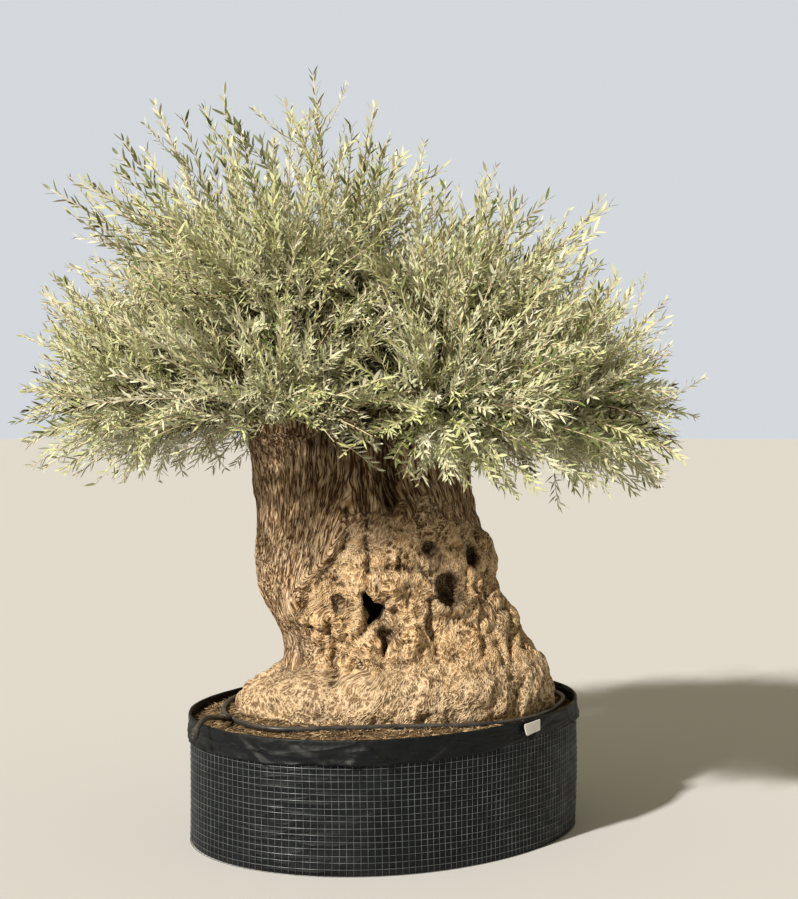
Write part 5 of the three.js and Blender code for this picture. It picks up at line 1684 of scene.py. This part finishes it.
def leaves_along(curves, first, kinds, tones):
    """The leaves of stems from a share of their length. Kinds hold their length, width and pitch."""
    spans = np.linalg.norm(np.diff(curves, axis=1), axis=2).sum(axis=1)
    pairs = np.maximum(3, (spans * (1 - first) / kinds[:, 2]).astype(int))
    stem = np.repeat(np.arange(len(curves)), pairs)
    step = np.arange(len(stem)) - np.repeat(np.cumsum(pairs) - pairs, pairs)
    leading = kinds[stem, 2] == ON_LEADER[2]
    share = first + (1 - first) * (step + 0.5 + draw.uniform(-0.25, 0.25, len(stem))) / pairs[stem]
    ahead = bezier_ahead(curves[stem], share)
    side, up = across(ahead, steady_references(ahead))
    first_turn = draw.uniform(0, math.pi, len(curves))[stem]
    turn = first_turn + step * math.pi / 2 + draw.normal(0, PAIR_TURN_VARIES, len(stem))
    away = np.cos(turn)[:, None] * side + np.sin(turn)[:, None] * up
    found = []
    for hand in (1, -1):
        own_spread = lerp(*SPREAD, share) + draw.normal(0, SPREAD_VARIES, len(stem))
        spread = np.where(leading, lerp(*SPREAD_ON_LEADER, share), own_spread)
        direction = unit(
            np.cos(spread)[:, None] * ahead + hand * np.sin(spread)[:, None] * away
            + (0, 0, LEAF_LIFT) + draw.normal(0, LEAF_STRAY, (len(stem), 3)))
        root = bezier(curves[stem], share)
        upper_side = FACES_ALONG * ahead + FACES_LIGHT * BRIGHTEST + (0, 0, FACES_UP)
        upper_side = upper_side + draw.normal(0, FACING_VARIES, (len(stem), 3))
        facing = unit(upper_side - (upper_side * direction).sum(axis=1, keepdims=True) * direction)
        grown_up = smoothstep(0.0, np.where(leading, YOUNG_SHARE_ON_LEADER, YOUNG_SHARE), 1.02 - share)
        high = np.where(leading, 1.0, smoothstep(LOW, HIGH, root[:, 2]))
        length = kinds[stem, 0] * lerp(LOW_LONGER, 1.0, high) * lerp(YOUNG_LEAF, 1.0, grown_up)
        length *= draw.uniform(*LENGTH_VARIES, len(stem))
        width = kinds[stem, 1] * lerp(LOW_WIDER, 1.0, high) * draw.uniform(*WIDTH_VARIES, len(stem))
        found.append((root, direction, facing, length, width, tones[stem], stem))
    return [np.concatenate(columns) for columns in zip(*found)]


def spray_tones(curves, leading):
    """A tone for each spray, by how far out of the crown it ends and whether it is a leader; deep inside it
    is mostly painted shade.
    """
    out = curves[:, 2] - FORK
    far = np.linalg.norm(out, axis=1)
    share = smoothstep(DEEP_INSIDE, OUTSIDE, far / reach(BODY, out / far[:, None]))
    share = share * lerp(LOW_LIT, 1.0, smoothstep(LOW, HIGH, curves[:, 2, 2]))
    share = np.maximum(share, smoothstep(*HANGING, curves[:, 2, 2]))[:, None]
    inside, outside, on_leaders = np.array([tone[3:] for tone in LEAF_TONES]).T
    limits = np.where(leading[:, None], on_leaders, lerp(inside, outside, share)).cumsum(axis=1)
    return (draw.random(len(curves))[:, None] > limits[:, :-1]).sum(axis=1)


def grown_leaves(outline, owners, found):
    """The leaves that are clear of the wood and in the crown, as what they are made from."""
    roots, directions, facings, lengths, widths, tones, stems = found
    tips = roots + directions * lengths[:, None]
    kept_leaves = in_crown(tips) & clear_of_wood(tips, LEAF_ROOM) & clear_of_wood(roots, 0.0)
    arches = LEAF_ARCH * draw.uniform(*LEAF_ARCHES, len(roots))
    values = (roots, directions, facings, lengths, widths, arches, tones, owners[stems])
    return outline, [value[kept_leaves] for value in values]


shoot_kinds = np.where(shoot_leads[:, None], ON_LEADER, ON_SHOOT)
twig_kinds = np.tile(ON_TWIG, (len(twigs), 1))
shoot_tones = spray_tones(shoots, shoot_leads)
twig_tones = spray_tones(twigs, np.zeros(len(twigs), bool))
shoot_leaves = leaves_along(shoots, LEAVES_FROM_ON_SHOOT, shoot_kinds, shoot_tones)
twig_leaves = leaves_along(twigs, LEAVES_FROM_ON_TWIG, twig_kinds, twig_tones)
kinds_of_leaves = [
    grown_leaves(LEAF_OUTLINE, shoot_owners, shoot_leaves),
    grown_leaves(PLAIN_LEAF_OUTLINE, twig_owners, twig_leaves),
]

leaf_finishes = []
for name, above, below, *_ in LEAF_TONES:
    finish, tree, shader = new_material(f"leaf_{name}", Roughness=0.50, Specular_IOR_Level=0.30)
    turned_over = add(tree, "ShaderNodeNewGeometry").outputs["Backfacing"]
    tree.links.new(mix(tree, turned_over, above, below), shader.inputs["Base Color"])
    leaf_finishes.append(finish)

for number, (name, *_) in enumerate(masses):
    shapes, face_tones = [], []
    for outline, (*made_from, tones, owners) in kinds_of_leaves:
        own = owners == number
        shape = leaf_shapes(outline, *[value[own] for value in made_from])
        shapes.append(shape)
        face_tones.append(np.tile(tones[own], len(shape[1])))
    leaves = mesh_piece(f"leaves_{name}", *joined(*shapes), leaf_finishes, np.concatenate(face_tones))
    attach(leaves, "root")
    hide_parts(f"foliage_{name}")


# Drip ring. A closed loop of black plastic watering pipe, which lies on the soil round the trunk. A
# tee pushed into it takes the feed, a stub that bends over the rim and ends in a moulded cap.
PIPE_SIDES = 18
SLEEVE_SIDES = 20
SLEEVE_STEPS = 60
RING_STEPS = 360
FEED_STEPS = 80
# Radii of the pipe, the tee's sleeves, the cap and the ribs on them, and how wide a rib is, as a
# share of its sleeve, at its foot and at its top.
PIPE = 0.010
TEE_SLEEVE = 0.0135
CAP = 0.015
RIB = 0.0165
RIB_EDGE = (0.045, 0.02)
SLEEVE_CHAMFER = 0.8
# Where the tee's side sleeve and the cap sit on the feed, and where each sleeve has its ribs.
TEE_ON_FEED = (0.02, 0.16)
CAP_ON_FEED = (0.84, 0.98)
TEE_RIBS = (0.08, 0.92)
SIDE_RIBS = (0.9,)
CAP_RIBS = (0.08, 0.8)
# The height of the pipe's middle line, and its route over the soil, across and toward the back.
RING_LIFT = 0.4925
RING_LINE = np.array([
    (-0.648, -0.030), (-0.600, -0.300), (-0.430, -0.520), (-0.160, -0.512), (0.070, -0.480), (0.320, -0.450),
    (0.530, -0.330), (0.675, -0.060), (0.722, 0.225), (0.600, 0.480), (0.300, 0.590), (-0.060, 0.560),
    (-0.400, 0.465), (-0.585, 0.270),
])
# The stub's route, from the ring over the rim and down outside it.
FEED_LINE = np.array([
    (-0.596, -0.330, 0.499), (-0.632, -0.418, 0.514), (-0.668, -0.500, 0.528), (-0.694, -0.560, 0.510),
    (-0.708, -0.610, 0.470),
])
TEE_HALF = 0.034


def smooth_line(points, count, closed=False):
    """Places along the smooth line through points that the solids have: centripetal, by share."""
    spans = len(points) if closed else len(points) - 1
    if closed:
        padded = np.concatenate([points[-1:], points, points[:2]])
    else:
        padded = np.concatenate([[2 * points[0] - points[1]], points, [2 * points[-1] - points[-2]]])
    at = np.arange(count) * spans / count if closed else np.linspace(0, spans, count)
    i = np.minimum(at.astype(int), spans - 1)
    t = (at - i)[:, None]
    a, b, c, d = (padded[i + n] for n in range(4))
    ab, bc, cd = (
        np.linalg.norm(far - near, axis=1, keepdims=True) ** 0.5 for near, far in ((a, b), (b, c), (c, d)))
    leave = bc * ((b - a) / ab - (c - a) / (ab + bc) + (c - b) / bc)
    arrive = bc * ((c - b) / bc - (d - b) / (bc + cd) + (d - c) / cd)
    bow = (3 * (c - b) - 2 * leave - arrive) * t ** 2 + (2 * (b - c) + leave + arrive) * t ** 3
    return b + leave * t + bow


def sleeve(line, start, end, radius, ribs):
    """A moulded sleeve along part of a line, with chamfered ends and a rib at each of some shares."""
    steps = np.linspace(start, end, SLEEVE_STEPS)
    shares = np.linspace(0, 1, SLEEVE_STEPS)
    along_line = np.linspace(0, 1, len(line))
    places = np.stack([np.interp(steps, along_line, line[:, axis]) for axis in range(3)], axis=-1)
    radii = np.full(SLEEVE_STEPS, radius)
    for rib in ribs:
        radii = np.maximum(radii, lerp(radius, RIB, smoothstep(*RIB_EDGE, np.abs(shares - rib))))
    radii[[0, -1]] = SLEEVE_CHAMFER * radius
    return tubes(places[None], radii[None], SLEEVE_SIDES)


ring_flat = smooth_line(RING_LINE, RING_STEPS, closed=True)
ring = np.concatenate([ring_flat, np.full((RING_STEPS, 1), RING_LIFT)], axis=1)
feed = smooth_line(FEED_LINE, FEED_STEPS)
tee_at = np.linalg.norm(ring - feed[0], axis=1).argmin()
tee_steps = round(TEE_HALF / np.linalg.norm(ring[tee_at + 1] - ring[tee_at]))
tee_line = ring[tee_at - tee_steps:tee_at + tee_steps + 1]
drip_shape = joined(
    tubes(ring[None], PIPE, PIPE_SIDES, closed=True), tubes(feed[None], PIPE, PIPE_SIDES),
    sleeve(tee_line, 0, 1, TEE_SLEEVE, TEE_RIBS),
    sleeve(feed, *TEE_ON_FEED, TEE_SLEEVE, SIDE_RIBS),
    sleeve(feed, *CAP_ON_FEED, CAP, CAP_RIBS),
)
pipe, tree, shader = new_material("pipe", Specular_IOR_Level=0.4)
place = add(tree, "ShaderNodeTexCoord").outputs["Object"]
scuffed = place_group(
    tree, mottle, Place=place, Size=0.05, Dark=(0.012, 0.012, 0.013, 1), Light=(0.050, 0.050, 0.050, 1))
covered = place_group(tree, dust, Color=scuffed["Color"], Amount=0.12, Low_Height=0.01)
tree.links.new(covered["Color"], shader.inputs["Base Color"])
tree.links.new(scaled(scuffed["Mask"], 0.0, 1.0, 0.34, 0.55), shader.inputs["Roughness"])
drip_ring = mesh_piece("drip_ring_pipe", *drip_shape, [pipe])
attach(drip_ring, "root")
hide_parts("drip_ring")


# Tag. A blank white card, stuck by its back to the cuff on the right of the front, a little askew
# and no longer quite flat.
TAG_WIDE = 0.108
TAG_HIGH = 0.044
TAG_THICK = 0.0008
TAG_CORNER = 0.004
# Its middle: the angle round the hoop, how far outside it, and the height.
TAG_ANGLE = math.radians(-37.6)
TAG_OUT = 0.021
TAG_MIDDLE = 0.480
TAG_TILT = math.radians(3)
TAG_CURL = 0.0035
TAG_COLUMNS = 24
TAG_ROWS = 12


def tag_places(thick):
    """One side of the card, as rows x columns of places, lying off the cuff by a thickness."""
    across_card, up_card = np.meshgrid(
        np.linspace(-TAG_WIDE / 2, TAG_WIDE / 2, TAG_COLUMNS),
        np.linspace(-TAG_HIGH / 2, TAG_HIGH / 2, TAG_ROWS))
    into_corner = np.clip(np.abs(up_card) - (TAG_HIGH / 2 - TAG_CORNER), 0, None)
    narrower = TAG_CORNER - np.sqrt(np.clip(TAG_CORNER ** 2 - into_corner ** 2, 0, None))
    across_card = across_card * (1 - 2 * narrower / TAG_WIDE)
    run = math.cos(TAG_TILT) * across_card - math.sin(TAG_TILT) * up_card
    rise = math.sin(TAG_TILT) * across_card + math.cos(TAG_TILT) * up_card
    lift = TAG_CURL * (across_card / TAG_WIDE - 0.5) ** 2 * (up_card / TAG_HIGH - 0.5) ** 2 * 4
    return hoop_place(TAG_ANGLE + run / HOOP_RADIUS, TAG_OUT + lift + thick, TAG_MIDDLE + rise)


front, back = tag_places(TAG_THICK), tag_places(0.0)
index = np.arange(TAG_ROWS * TAG_COLUMNS).reshape(TAG_ROWS, TAG_COLUMNS)
rim_loop = np.concatenate([index[0, :-1], index[:-1, -1], index[-1, :0:-1], index[:0:-1, 0]])
cells = np.stack([index[:-1, :-1], index[:-1, 1:], index[1:, 1:], index[1:, :-1]], axis=-1).reshape(-1, 4)
ahead = np.roll(rim_loop, -1)
edge_faces = np.stack([rim_loop, rim_loop + index.size, ahead + index.size, ahead], axis=-1)
tag_faces = [cells, cells[:, ::-1] + index.size, edge_faces]
card, tree, shader = new_material("blank_card", Roughness=0.42, Specular_IOR_Level=0.4)
place = add(tree, "ShaderNodeTexCoord").outputs["Object"]
smudged = place_group(
    tree, mottle, Place=place, Size=0.02, Contrast=0.5,
    Dark=(0.62, 0.60, 0.55, 1), Light=(0.80, 0.79, 0.76, 1))
tree.links.new(smudged["Color"], shader.inputs["Base Color"])
tag_piece = mesh_piece(
    "blank_tag", np.concatenate([front.reshape(-1, 3), back.reshape(-1, 3)]), tag_faces, [card])
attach(tag_piece, "root")
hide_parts("tag")
